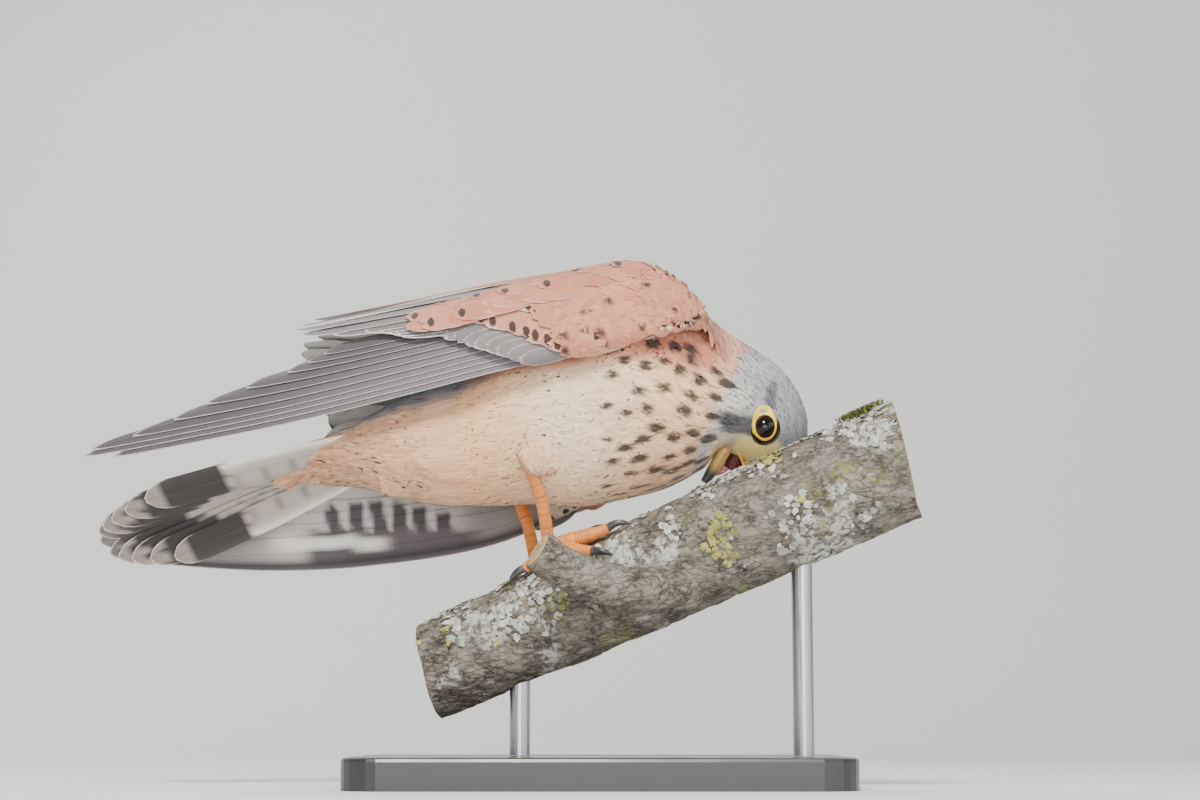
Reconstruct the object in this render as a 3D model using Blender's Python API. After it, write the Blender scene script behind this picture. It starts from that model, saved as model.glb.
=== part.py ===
"""A male common kestrel, life size, feeding head down on a cut length of sloping branch.

The functions work in millimetres, and meshes are written in metres.
X runs along the bird towards its head, Y towards its left side, Z up.
The origin is the centre of the underside of the stand's base.
"""

import math

import bmesh
import bpy
from mathutils import Vector, noise

MM = 0.001
GAP = 0.3
VANE_THICKNESS = 0.55

BODY_SIDES = 28

# Body sections from the tail root to the face. Each row: place along the body,
# back point x and z, belly point x and z, half width, how far the widest part
# sits towards the belly, and how far the section is turned to the bird's left.
BODY = (
    (0, -90, 141.5, -85, 113.5, 12.5, 0.00, 0.0),
    (1, -59, 158, -53, 109.5, 22, 0.05, 0.0),
    (2, -29, 182, -24, 110, 28, 0.08, 0.0),
    (3, -8, 199.5, -6, 109, 31, 0.10, 0.0),
    (4, 10, 203, 10, 112, 32, 0.10, 0.0),
    (5, 27, 196.3, 24, 115.5, 30.5, 0.08, 0.0),
    (6, 42, 183.5, 33, 119, 27, 0.05, 0.2),
    (7, 53, 176, 38, 121.8, 23.5, 0.03, 0.6),
    (8, 62, 171, 41.5, 124, 20.5, 0.00, 1.2),
    (9, 71.5, 164, 42.8, 126.5, 18.8, 0.00, 1.8),
    (10, 78.5, 154.5, 44, 128.8, 18, 0.00, 2.4),
    (11, 82, 145, 45.3, 130.6, 17.6, 0.00, 2.9),
    (12, 82.3, 137, 47, 131.5, 16.4, 0.00, 3.3),
    (13, 80.5, 130.5, 49, 130.6, 13.4, 0.00, 3.7),
    (14, 75, 125.8, 52, 129.2, 9.6, 0.00, 4.0),
    (15, 67.5, 123.6, 56.3, 127, 5.8, 0.00, 4.2),
)
TORSO_SPAN = (0, 6)
NECK_SPAN = (6, 8)
HEAD_SPAN = (8, 15)

# Bill sections: back point x and z, mouth point x and z, half width, turn.
CERE = (
    (67.5, 123.6, 56.3, 127.0, 5.8, 4.2),
    (67.4, 120.2, 56.8, 123.6, 5.4, 4.3),
    (66.6, 117.6, 57.3, 120.6, 4.8, 4.4),
)
UPPER_BILL = (
    (66.5, 117.2, 57.3, 120.2, 4.6, 4.4),
    (65.2, 113.2, 56.9, 117.0, 3.8, 4.6),
    (62.3, 109.8, 55.9, 114.4, 2.8, 4.8),
    (58.8, 107.8, 54.9, 112.0, 1.7, 4.9),
    (55.4, 107.6, 53.9, 109.2, 0.7, 5.0),
)
LOWER_BILL = (
    (52.6, 130.2, 46.4, 133.4, 5.6, 3.6),
    (49.6, 125.6, 44.4, 128.4, 5.0, 3.7),
    (46.4, 121.2, 41.9, 123.8, 3.9, 3.8),
    (42.7, 117.6, 39.7, 119.4, 2.2, 3.9),
)
NOSTRIL_CENTRE = (62.4, 4.6, 121.0)
NOSTRIL_RADIUS = 0.9
CERE_TURN = 4.3

EYE_RADIUS = 6.8
EYE_X = 63.9
EYE_Z = 138.3
EYE_FROM_MEDIAN = 12.6
LID_FROM_MEDIAN = 17.3
LID_HALF_ACROSS = 4.7
LID_HALF_ALONG = 5.6
LID_ROUND = 1.0
LID_STEPS = 14
LID_CORNERS = 5
HEAD_TURN_AT_EYE = 2.8

# Wing sheets: x, height of the leading edge, its distance from the median
# plane, and how far the sheet stands straight up before it curls over the back.
WING_RIGHT = (
    (40, 175.5, 25, 0),
    (15, 169.5, 31, 0),
    (-12, 162.8, 33, 0),
    (-39, 157.3, 32, 0),
    (-77, 148.6, 28, 0),
    (-120, 139.7, 21, 0),
    (-160, 132.6, 15, 0),
    (-201, 125.5, 9, 0),
)
WING_LEFT = (
    (40, 150, 29, 22),
    (15, 127, 35, 38),
    (-12, 110, 37, 48),
    (-46, 97, 36, 50),
    (-96, 90, 32, 46),
    (-135, 88.8, 27, 40),
    (-181, 91.5, 20, 34),
)
CURL_RADIUS = 40
WING_FRONT = 40
ARM_REAR = 5

# Tips of the ten primaries, outermost first: x, and height above the leading edge.
PRIMARY_TIPS = (
    (-188, -2.2), (-200, 0.0), (-197, 2.0), (-181, 4.2), (-165, 7.5),
    (-152, 11.3), (-137, 14.8), (-121, 18), (-113, 20.5), (-107, 23),
)
SECONDARIES = 10
SECONDARY_REACH = -111

# Perch: x, y and z of the axis and the radius.
PERCH = (
    (-66, 7, 44.5, 18.5),
    (-30, 0, 60, 19.2),
    (0, -5.5, 73.3, 20.3),
    (40, -13, 91.3, 21.5),
    (62, -17, 101, 22),
    (116, -28, 123.5, 22.6),
)
BARK_RELIEF = 0.9
STUB = (
    (36, -8, 84, 9.5),
    (28, -24, 76, 9.2),
    (8, -36, 75, 8.4),
    (-10, -42, 80, 7.8),
    (-23, -46, 88, 7.6),
)

BASE_LENGTH = 190
BASE_WIDTH = 120
BASE_THICKNESS = 12
BASE_CORNER = 14
ROD_RADIUS = 4
ROD_PLACES = (-31, 77)

TAIL_ROOT = (-75, 0, 138)
TAIL_DROP = math.radians(20.5)
TAIL_TWIST = math.radians(42)
TAIL_LENGTH = 128
FEATHER_PAIRS = 6


def clear_scene():
    for item in list(bpy.data.objects):
        bpy.data.objects.remove(item, do_unlink=True)


def paint(name, colour, roughness=0.7, metallic=0.0):
    """A plain surface of one colour."""
    material = bpy.data.materials.new(name)
    material.use_nodes = True
    shader = material.node_tree.nodes["Principled BSDF"]
    shader.inputs["Base Color"].default_value = (*colour, 1)
    shader.inputs["Roughness"].default_value = roughness
    shader.inputs["Metallic"].default_value = metallic
    material.diffuse_color = (*colour, 1)
    return material


def read(table, place):
    """The other columns of a table where its first column is the place, on smooth spans."""
    rows = table if table[0][0] < table[-1][0] else table[::-1]
    last = len(rows) - 1
    place = min(max(place, rows[0][0]), rows[last][0])
    span = next(i for i in range(last) if place <= rows[i + 1][0])
    start, end = rows[span], rows[span + 1]
    before, after = rows[max(span - 1, 0)], rows[min(span + 2, last)]
    step = end[0] - start[0]
    u = (place - start[0]) / step
    values = []
    for column in range(1, len(start)):
        slope_start = (end[column] - before[column]) / (end[0] - before[0]) * step
        slope_end = (after[column] - start[column]) / (after[0] - start[0]) * step
        values.append(
            start[column] * (2 * u**3 - 3 * u**2 + 1)
            + slope_start * (u**3 - 2 * u**2 + u)
            + end[column] * (3 * u**2 - 2 * u**3)
            + slope_end * (u**3 - u**2)
        )
    return values


def new_object(name, points, faces, material=None):
    """A mesh object in metres with its faces pointing out."""
    mesh = bpy.data.meshes.new(name)
    mesh.from_pydata([Vector(point) * MM for point in points], [], faces)
    work = bmesh.new()
    work.from_mesh(mesh)
    bmesh.ops.recalc_face_normals(work, faces=work.faces)
    work.to_mesh(mesh)
    work.free()
    if material:
        mesh.materials.append(material)
    item = bpy.data.objects.new(name, mesh)
    bpy.context.scene.collection.objects.link(item)
    return item


def loft(name, rings, material=None):
    """A closed solid through rings of equal length, with flat ends."""
    count = len(rings[0])
    points = [point for ring in rings for point in ring]
    faces = [tuple(range(count)), tuple(range(len(points) - count, len(points)))]
    for row in range(len(rings) - 1):
        for side in range(count):
            beside = (side + 1) % count
            low, high = row * count, (row + 1) * count
            faces.append((low + side, low + beside, high + beside, high + side))
    return new_object(name, points, faces, material)


def sheet(name, outer, inner):
    """A closed thin solid between two grids of points, split alike on both faces."""
    rows, columns = len(outer), len(outer[0])
    points = [point for row in outer for point in row] + [point for row in inner for point in row]
    back = rows * columns
    faces = []
    for row in range(rows - 1):
        for column in range(columns - 1):
            a = row * columns + column
            b, c, d = a + 1, a + columns + 1, a + columns
            faces += [(a, b, c), (a, c, d)]
            faces += [(back + a, back + c, back + b), (back + a, back + d, back + c)]
    rim = list(range(columns))
    rim += [row * columns + columns - 1 for row in range(1, rows)]
    rim += [(rows - 1) * columns + column for column in range(columns - 2, -1, -1)]
    rim += [row * columns for row in range(rows - 2, 0, -1)]
    for a, b in zip(rim, rim[1:] + rim[:1]):
        faces += [(a, back + a, b), (b, back + a, back + b)]
    return new_object(name, points, faces)


def tube(name, path, radii, sides, material=None):
    """A closed tube along a path with a radius at each point."""
    path = [Vector(point) for point in path]
    rings = []
    last = len(path) - 1
    across = None
    for index, centre in enumerate(path):
        along = (path[min(index + 1, last)] - path[max(index - 1, 0)]).normalized()
        across = along.orthogonal() if across is None else across - along * across.dot(along)
        across.normalize()
        upright = along.cross(across)
        ring = []
        for side in range(sides):
            turn = 2 * math.pi * side / sides
            ring.append(centre + (across * math.cos(turn) + upright * math.sin(turn)) * radii[index])
        rings.append(ring)
    return loft(name, rings, material)


def settle(item):
    """Write an object's modifiers into its mesh."""
    graph = bpy.context.evaluated_depsgraph_get()
    shape = bpy.data.meshes.new_from_object(item.evaluated_get(graph))
    item.modifiers.clear()
    old = item.data
    item.data = shape
    bpy.data.meshes.remove(old)


def keep_largest(item):
    """Keep only the largest closed surface of a mesh."""
    work = bmesh.new()
    work.from_mesh(item.data)
    unseen = set(work.faces)
    shells = []
    while unseen:
        shell = {unseen.pop()}
        front = list(shell)
        while front:
            face = front.pop()
            for edge in face.edges:
                for beside in edge.link_faces if len(edge.link_faces) == 2 else ():
                    if beside in unseen:
                        unseen.discard(beside)
                        shell.add(beside)
                        front.append(beside)
        shells.append(shell)
    shells.sort(key=lambda shell: sum(face.calc_area() for face in shell))
    spare = [face for shell in shells[:-1] for face in shell]
    bmesh.ops.delete(work, geom=spare, context="FACES")
    bmesh.ops.dissolve_degenerate(work, edges=work.edges, dist=2e-6)
    bmesh.ops.triangulate(work, faces=[face for face in work.faces if len(face.verts) > 3])
    work.to_mesh(item.data)
    work.free()


def fuse(name, pieces, material=None):
    """One closed body from closed pieces that overlap."""
    first = pieces[0]
    others = bpy.data.collections.new(name + "_pieces")
    for piece in pieces[1:]:
        others.objects.link(piece)
    joint = first.modifiers.new("fuse", "BOOLEAN")
    joint.operation = "UNION"
    joint.solver = "EXACT"
    joint.operand_type = "COLLECTION"
    joint.collection = others
    settle(first)
    for piece in pieces[1:]:
        bpy.data.objects.remove(piece, do_unlink=True)
    bpy.data.collections.remove(others)
    keep_largest(first)
    first.name = name
    first.data.materials.clear()
    if material:
        first.data.materials.append(material)
    return first


def carve(item, neighbour, gap=GAP, solver="EXACT"):
    """Cut an object back to a small gap from its neighbour."""
    cutter = neighbour.copy()
    cutter.data = neighbour.data.copy()
    bpy.context.scene.collection.objects.link(cutter)
    work = bmesh.new()
    work.from_mesh(cutter.data)
    moves = [vertex.normal * gap * MM * vertex.calc_shell_factor() for vertex in work.verts]
    for vertex, move in zip(work.verts, moves):
        vertex.co += move
    work.to_mesh(cutter.data)
    work.free()
    cut = item.modifiers.new("cut", "BOOLEAN")
    cut.operation = "DIFFERENCE"
    cut.solver = solver
    cut.object = cutter
    settle(item)
    bpy.data.objects.remove(cutter, do_unlink=True)
    keep_largest(item)
    return item


def section(back_x, back_z, belly_x, belly_z, half_width, belly_weight=0.0, turn=0.0, sides=BODY_SIDES):
    """A ring of points in the plane through a back point and a belly point."""
    ring = []
    for side in range(sides):
        angle = 2 * math.pi * side / sides
        rise = math.cos(angle) / 2
        x = (back_x + belly_x) / 2 + (back_x - belly_x) * rise
        z = (back_z + belly_z) / 2 + (back_z - belly_z) * rise
        y = turn + half_width * math.sin(angle) * (1 - belly_weight * math.cos(angle))
        ring.append((x, y, z))
    return ring


def body_part(name, span, per_span, material):
    """The length of the body between two places, with half a gap taken off each end."""
    first, last = span
    steps = (last - first) * per_span
    rings = [section(*read(BODY, first + step / per_span)) for step in range(steps + 1)]
    trims = ((0, 1, first > BODY[0][0]), (-1, -2, last < BODY[-1][0]))
    for end, inner, touches in trims:
        middle = sum((Vector(point) for point in rings[end]), Vector()) / BODY_SIDES
        inward = sum((Vector(point) for point in rings[inner]), Vector()) / BODY_SIDES - middle
        across = Vector(rings[end][0]) - Vector(rings[end][BODY_SIDES // 2])
        normal = across.cross(Vector((0, 1, 0))).normalized()
        if normal.dot(inward) < 0:
            normal = -normal
        trim = GAP / 2 if touches else 0
        rings[end] = [tuple(Vector(point) + normal * trim) for point in rings[end]]
    return loft(name, rings, material)


def ball(name, centre, radius, segments, material=None):
    """An eyeball or a round cutter."""
    mesh = bpy.data.meshes.new(name)
    work = bmesh.new()
    bmesh.ops.create_uvsphere(work, u_segments=segments, v_segments=segments // 2, radius=radius * MM)
    bmesh.ops.translate(work, verts=work.verts, vec=Vector(centre) * MM)
    bmesh.ops.triangulate(work, faces=work.faces)
    work.to_mesh(mesh)
    work.free()
    if material:
        mesh.materials.append(material)
    item = bpy.data.objects.new(name, mesh)
    bpy.context.scene.collection.objects.link(item)
    return item


def lid_ring(name, side):
    """The raised rim of the lids round one eye."""
    rings = []
    for step in range(LID_STEPS):
        turn = 2 * math.pi * step / LID_STEPS
        spoke = Vector((math.cos(turn), 0, math.sin(turn)))
        centre = Vector((
            EYE_X + LID_HALF_ACROSS * math.cos(turn),
            HEAD_TURN_AT_EYE + side * LID_FROM_MEDIAN,
            EYE_Z + LID_HALF_ALONG * math.sin(turn),
        ))
        out = Vector((0, side, 0))
        rings.append([
            centre + (spoke * math.cos(a) + out * math.sin(a)) * LID_ROUND
            for a in (math.pi * 2 * corner / LID_CORNERS for corner in range(LID_CORNERS))
        ])
    points = [point for ring in rings for point in ring]
    faces = []
    for row in range(LID_STEPS):
        for corner in range(LID_CORNERS):
            beside = (corner + 1) % LID_CORNERS
            low, high = row * LID_CORNERS, (row + 1) % LID_STEPS * LID_CORNERS
            faces.append((low + corner, low + beside, high + beside, high + corner))
    return new_object(name, points, faces)


def head_and_bill(plumage, wax, horn, eye_black):
    """The head with its lids and sockets, the cere with the nostrils, and the open bill."""
    head = body_part("head", HEAD_SPAN, 2, plumage)
    head = fuse("head", [head, lid_ring("lid_right", -1), lid_ring("lid_left", 1)], plumage)
    for side, label in ((-1, "right"), (1, "left")):
        centre = (EYE_X, HEAD_TURN_AT_EYE + side * EYE_FROM_MEDIAN, EYE_Z)
        eye = ball("eye_" + label, centre, EYE_RADIUS, 16, eye_black)
        carve(head, eye)
    cere = loft("cere", [section(*row[:5], turn=row[5], sides=16) for row in CERE], wax)
    carve(cere, head)
    for side in (-1, 1):
        x, from_median, z = NOSTRIL_CENTRE
        pit = ball("nostril", (x, CERE_TURN + side * from_median, z), NOSTRIL_RADIUS, 8)
        carve(cere, pit, 0.0)
        bpy.data.objects.remove(pit, do_unlink=True)
    upper = loft("bill_upper", [section(*row[:5], turn=row[5], sides=16) for row in UPPER_BILL], horn)
    carve(upper, cere)
    lower = loft("bill_lower", [section(*row[:5], turn=row[5], sides=16) for row in LOWER_BILL], horn)
    for neighbour in (head, cere, upper):
        carve(lower, neighbour)
    return head, lower


def wing_point(table, side, x, t, n):
    """A point of a wing sheet: x along the bird, t up from the leading edge, n outwards."""
    edge_z, edge_y, straight = read(table, x)
    if t <= straight:
        y, z, turn = edge_y, edge_z + t, 0.0
    else:
        turn = (t - straight) / CURL_RADIUS
        y = edge_y - CURL_RADIUS * (1 - math.cos(turn))
        z = edge_z + straight + CURL_RADIUS * math.sin(turn)
    return (x, side * (y + n * math.cos(turn)), z + n * math.sin(turn))


def wing_vane(name, sheet_of, root, tip, width, layer, tilt, shape):
    """One feather of the wing, whose lower edge lies over the next feather below."""
    taper_from, steps, columns, sink = shape
    table, side = sheet_of
    outer, inner = [], []
    clear_from = (root[0] - ARM_REAR - 1) / (root[0] - tip[0])
    if sink:
        places = [0.0] + [clear_from + (1 - clear_from) * step / steps for step in range(steps + 1)]
    else:
        places = [step / steps for step in range(steps + 1)]
    for u in places:
        x = root[0] + (tip[0] - root[0]) * u
        low = root[1] + (tip[1] - root[1]) * u
        fade = max(0.0, (u - taper_from) / (1 - taper_from))
        wide = width * math.sqrt(max(0.025, 1 - fade**2)) * (0.6 + 0.4 * min(1.0, u * 3))
        if taper_from > 0.5:
            low += (width - wide) * 0.5
        row_outer, row_inner = [], []
        for column in range(columns):
            across = wide * column / (columns - 1)
            n = layer + tilt * (width - across) - (sink if u == 0 else 0)
            row_outer.append(wing_point(table, side, x, low + across, n + VANE_THICKNESS))
            row_inner.append(wing_point(table, side, x, low + across, n))
        outer.append(row_outer)
        inner.append(row_inner)
    return sheet(name, outer, inner)


def wing_plate(name, sheet_of, xs, ts, ns):
    """A thick patch of the wing sheet, which ties the roots of its feathers."""
    table, side = sheet_of
    outer, inner = [], []
    for x in xs:
        spread = [ts[0] + (ts[1] - ts[0]) * column / 3 for column in range(4)]
        outer.append([wing_point(table, side, x, t, ns[1]) for t in spread])
        inner.append([wing_point(table, side, x, t, ns[0]) for t in spread])
    return sheet(name, outer, inner)


def spaced(first, last, count, index):
    return first + (last - first) * index / (count - 1)


def feather_row(name, sheet_of, roots, tips, width, layer, shape):
    """A row of feathers between two root points; the tilt keeps a little air between neighbours."""
    count = len(tips)
    root_pitch = (roots[1][1] - roots[0][1]) / (count - 1)
    tilt = (VANE_THICKNESS + 0.08) / root_pitch
    row = []
    for index, tip in enumerate(tips):
        root = tuple(spaced(roots[0][axis], roots[1][axis], count, index) for axis in (0, 1))
        row.append(wing_vane(f"{name}_{index}", sheet_of, root, tip, width, layer, tilt, shape))
    return row, tilt * width + VANE_THICKNESS


def arm(name, sheet_of, top):
    """The thick front of the folded wing, from the bend of the wing to the feather roots."""
    table, side = sheet_of
    rings = []
    for x in (ARM_REAR, 14, 22, 29, 34, 37.5, WING_FRONT - 0.5):
        front = max(0.0, (x - 18) / (WING_FRONT - 18))
        size = math.sqrt(max(0.03, 1 - front**2))
        middle = top * (0.46 - 0.22 * front)
        reach = top * 0.5 * size * (1 - 0.25 * front)
        ring = []
        for corner in range(14):
            angle = 2 * math.pi * corner / 14
            t = middle + reach * math.cos(angle)
            n = 1.5 + 8.8 * size * math.sin(angle)
            ring.append(wing_point(table, side, x, t, n))
        rings.append(ring)
    return loft(name, rings)


def wing(label, sheet_of, form, quill, covert, torso):
    """A folded wing in three nodes: primaries, secondaries with tertials, and arm with coverts."""
    pointed, rounded, small = (0.45, 6, 2, 0.0), (0.74, 4, 2, 0.0), (0.6, 3, 2, 4.5)
    rear = ARM_REAR - GAP
    plate_xs = (rear, rear - 8, rear - 16)

    tips = [(max(x, form["reach"]), t * form["stretch"]) for x, t in PRIMARY_TIPS]
    roots = ((rear, 0.0), (rear, form["primary_root"]))
    row, depth = feather_row("primary", sheet_of, roots, tips, form["width"], 0.0, pointed)
    plate = wing_plate("roots", sheet_of, plate_xs, (1.0, roots[1][1] + form["width"] * 0.5), (0.0, depth))
    fuse(f"wing_{label}_primaries", [plate] + row, quill)

    layer = depth + GAP + 0.1
    tips = []
    for index in range(SECONDARIES):
        share = index / (SECONDARIES - 1)
        x = SECONDARY_REACH - 7 * math.sin(math.pi * share) + 9 * max(0, index - SECONDARIES + 3)
        tips.append((x, spaced(*form["secondary_tip"], SECONDARIES, index)))
    roots = tuple((rear, t) for t in form["secondary_root"])
    row, depth = feather_row("secondary", sheet_of, roots, tips, form["width"], layer, rounded)
    plate = wing_plate(
        "roots", sheet_of, plate_xs, (roots[0][1] + 1, roots[1][1] + form["width"] * 0.5),
        (layer, layer + depth))
    fuse(f"wing_{label}_secondaries", [plate] + row, quill)

    layer += depth + GAP + 0.1
    pieces = [arm(f"arm_{label}", sheet_of, form["top"])]
    for tier, count, root_x, reach, rise in form["tiers"]:
        tips = [(spaced(*reach, count, index), spaced(*rise, count, index)) for index in range(count)]
        width = form["top"] / count * 1.6
        roots = ((root_x, 1), (root_x, form["top"] - width))
        row, depth = feather_row(tier, sheet_of, roots, tips, width, layer, small)
        pieces += row
        layer += depth + 0.2
    coverts = fuse(f"wing_{label}_coverts", pieces, covert)
    return carve(coverts, torso)


def tail_point(along, across, under):
    """A point of the twisted tail: along it, across it to the bird's left, and below its sheet."""
    axis = Vector((-math.cos(TAIL_DROP), 0, -math.sin(TAIL_DROP)))
    level = Vector((0, 1, 0))
    up = Vector((-math.sin(TAIL_DROP), 0, math.cos(TAIL_DROP)))
    width_way = level * math.cos(TAIL_TWIST) - up * math.sin(TAIL_TWIST)
    under_way = -up * math.cos(TAIL_TWIST) - level * math.sin(TAIL_TWIST)
    return Vector(TAIL_ROOT) + axis * along + width_way * across + under_way * under


def tail(torso, material):
    """Twelve tail feathers in graded lengths, outermost lowest, rooted in the tail coverts."""
    end = section(*read(BODY, 0))
    rings = []
    for step in range(4):
        share = step / 3
        ring = []
        for index, point in enumerate(end):
            angle = 2 * math.pi * index / BODY_SIDES
            flat = tail_point(
                38 * share + 2,
                12.5 * math.sin(angle) * (1 - 0.15 * share),
                1.5 - 4.5 * math.cos(angle) * (1.25 - share))
            blend = 1 - (1 - share)**2
            start = Vector(point) + Vector((-0.5 - 38 * share, 0, -9.5 * share))
            ring.append(start.lerp(flat, blend))
        rings.append(ring)
    pieces = [loft("tail_coverts", rings)]
    for pair in range(FEATHER_PAIRS):
        for side in (-1, 1):
            level = pair + 1 if pair or side < 0 else 0
            length = TAIL_LENGTH - (0, 1.5, 4, 8.5, 15, 24)[pair]
            middle = 2.2 * pair + (0.5 if pair == 0 else 3.5)
            outer, inner = [], []
            for step in range(7):
                u = step / 6
                fade = max(0.0, (u - 0.84) / 0.16)
                half = 7.6 * (0.55 + 0.45 * min(1.0, u * 2)) * math.sqrt(max(0.09, 1 - fade**2))
                centre = middle * (0.35 + 0.65 * u) + pair * 0.35
                along = 14 + (length - 14) * u
                low, high = centre - half, centre + half
                if pair:
                    low = max(low, 0.4)
                under = level * 0.9 - 2.6
                outer.append([tail_point(along, side * edge, under) for edge in (low, high)])
                inner.append([
                    tail_point(along, side * edge, under + VANE_THICKNESS) for edge in (low, high)])
            pieces.append(sheet(f"rectrix_{pair}_{side}", outer, inner))
    return carve(fuse("tail", pieces, material), torso)


def bark_point(x, angle, lift):
    """A point over the bark: angle from the top towards the camera side, lift above the bark."""
    y, z, radius = read(PERCH, x)
    before, after = read(PERCH, x - 2), read(PERCH, x + 2)
    along = Vector((4, after[0] - before[0], after[1] - before[1])).normalized()
    near = Vector((along.y, -along.x, 0)).normalized()
    up = near.cross(along)
    way = up * math.cos(angle) + near * math.sin(angle)
    relief = noise.noise(Vector((x / 16, math.cos(angle) * 1.7, math.sin(angle) * 1.7)))
    return Vector((x, y, z)) + way * (radius + BARK_RELIEF * relief + lift)


def perch(bark):
    """The cut length of branch with the stub of its side branch."""
    first, last = PERCH[0][0], PERCH[-1][0]
    rings = []
    for step in range(21):
        x = first + (last - first) * step / 20
        rings.append([bark_point(x, 2 * math.pi * side / 24, 0) for side in range(24)])
    trunk = loft("trunk", rings)
    path = [read([(index, *row) for index, row in enumerate(STUB)], step / 2) for step in range(9)]
    stub = tube("stub", [row[:3] for row in path], [row[3] for row in path], 14)
    collar = tube("collar", [path[1][:3], path[2][:3], path[3][:3]], (12.5, 12, 9.8), 14)
    return fuse("perch", [trunk, stub, collar], bark)


def leg(label, side, foot_x, foot_angle, heel, knee, torso, plumage, skin, horn):
    """A feathered shin, a bare tarsus, a foot with four toes, and their claws."""
    pad = bark_point(foot_x, foot_angle, 5.6)
    heel, knee = Vector(heel), Vector(knee)
    ankle = pad + (heel - pad).normalized() * 3.6
    tarsus = tube(
        "tarsus_" + label, [heel.lerp(ankle, 0.1), heel.lerp(ankle, 0.5) + Vector((1.2, 0, -0.6)), ankle],
        (2.9, 2.6, 2.9), 12, skin)
    shin_path = [knee + Vector((6, -side * 2, 6)), knee, knee.lerp(heel, 0.45), knee.lerp(heel, 0.8), heel]
    shin_path.append(heel.lerp(ankle, 0.16))
    thigh = tube("thigh_" + label, shin_path, (12, 17, 15, 10.5, 7.0, 4.2), 18, plumage)
    carve(thigh, torso)
    carve(tarsus, thigh)

    pieces = [ball("pad", pad, 4.3, 12)]
    claws = []
    toes = (("middle", 6, 24), ("inner", -20, 17), ("outer", 34, 18.5), ("hind", 172, 12))
    for toe, bearing, length in toes:
        bearing = math.radians(bearing) * -side
        path = []
        claw_path = []
        along, around = math.cos(bearing), math.sin(bearing)
        for share in (0.0, 0.25, 0.5, 0.75, 1.0):
            lift = 5.4 - 2.4 * min(1.0, share * 1.6) + 0.9 * math.sin(math.pi * share)
            x = foot_x + along * length * share * 0.91
            path.append(bark_point(x, foot_angle + around * length * share / 22, lift))
        pieces.append(tube("toe", path, (3.0, 2.7, 2.5, 2.3, 1.9), 8))
        for reach, lift, radius in ((0.6, 3.2, 1.5), (3.5, 3.5, 1.3), (6.3, 2.6, 0.9), (8.2, 1.1, 0.45)):
            x = foot_x + along * (length + reach) * 0.91
            claw_path.append((bark_point(x, foot_angle + around * (length + reach) / 22, lift), radius))
        claws.append(tube(
            f"claw_{label}_{toe}", [row[0] for row in claw_path], [row[1] for row in claw_path], 8, horn))
    foot = fuse("foot_" + label, pieces, skin)
    carve(foot, tarsus)
    for claw in claws:
        carve(claw, foot, solver="MANIFOLD")
    return foot


def stand(perch_body, lacquer, steel):
    """A flat base with rounded corners and two upright rods under the perch."""
    work = bmesh.new()
    bmesh.ops.create_cube(work, size=1.0)
    bmesh.ops.scale(work, verts=work.verts, vec=Vector((BASE_LENGTH, BASE_WIDTH, BASE_THICKNESS)) * MM)
    upright = [edge for edge in work.edges if abs(edge.verts[0].co.z - edge.verts[1].co.z) > MM]
    bmesh.ops.bevel(work, geom=upright, offset=BASE_CORNER * MM, segments=6, profile=0.5, affect="EDGES")
    rim = [edge for edge in work.edges if all(vertex.co.z > 0 for vertex in edge.verts)]
    bmesh.ops.bevel(work, geom=rim, offset=1.5 * MM, segments=2, profile=0.5, affect="EDGES")
    mesh = bpy.data.meshes.new("stand_base")
    work.to_mesh(mesh)
    work.free()
    mesh.materials.append(lacquer)
    base = bpy.data.objects.new("stand_base", mesh)
    base.location.z = BASE_THICKNESS / 2 * MM
    bpy.context.scene.collection.objects.link(base)

    for label, x in zip(("low", "high"), ROD_PLACES):
        y, z, radius = read(PERCH, x)
        rod = tube(
            "stand_rod_" + label, [(x, y, BASE_THICKNESS + GAP), (x, y, z - radius + 4)],
            (ROD_RADIUS, ROD_RADIUS), 20, steel)
        carve(rod, perch_body)


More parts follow.
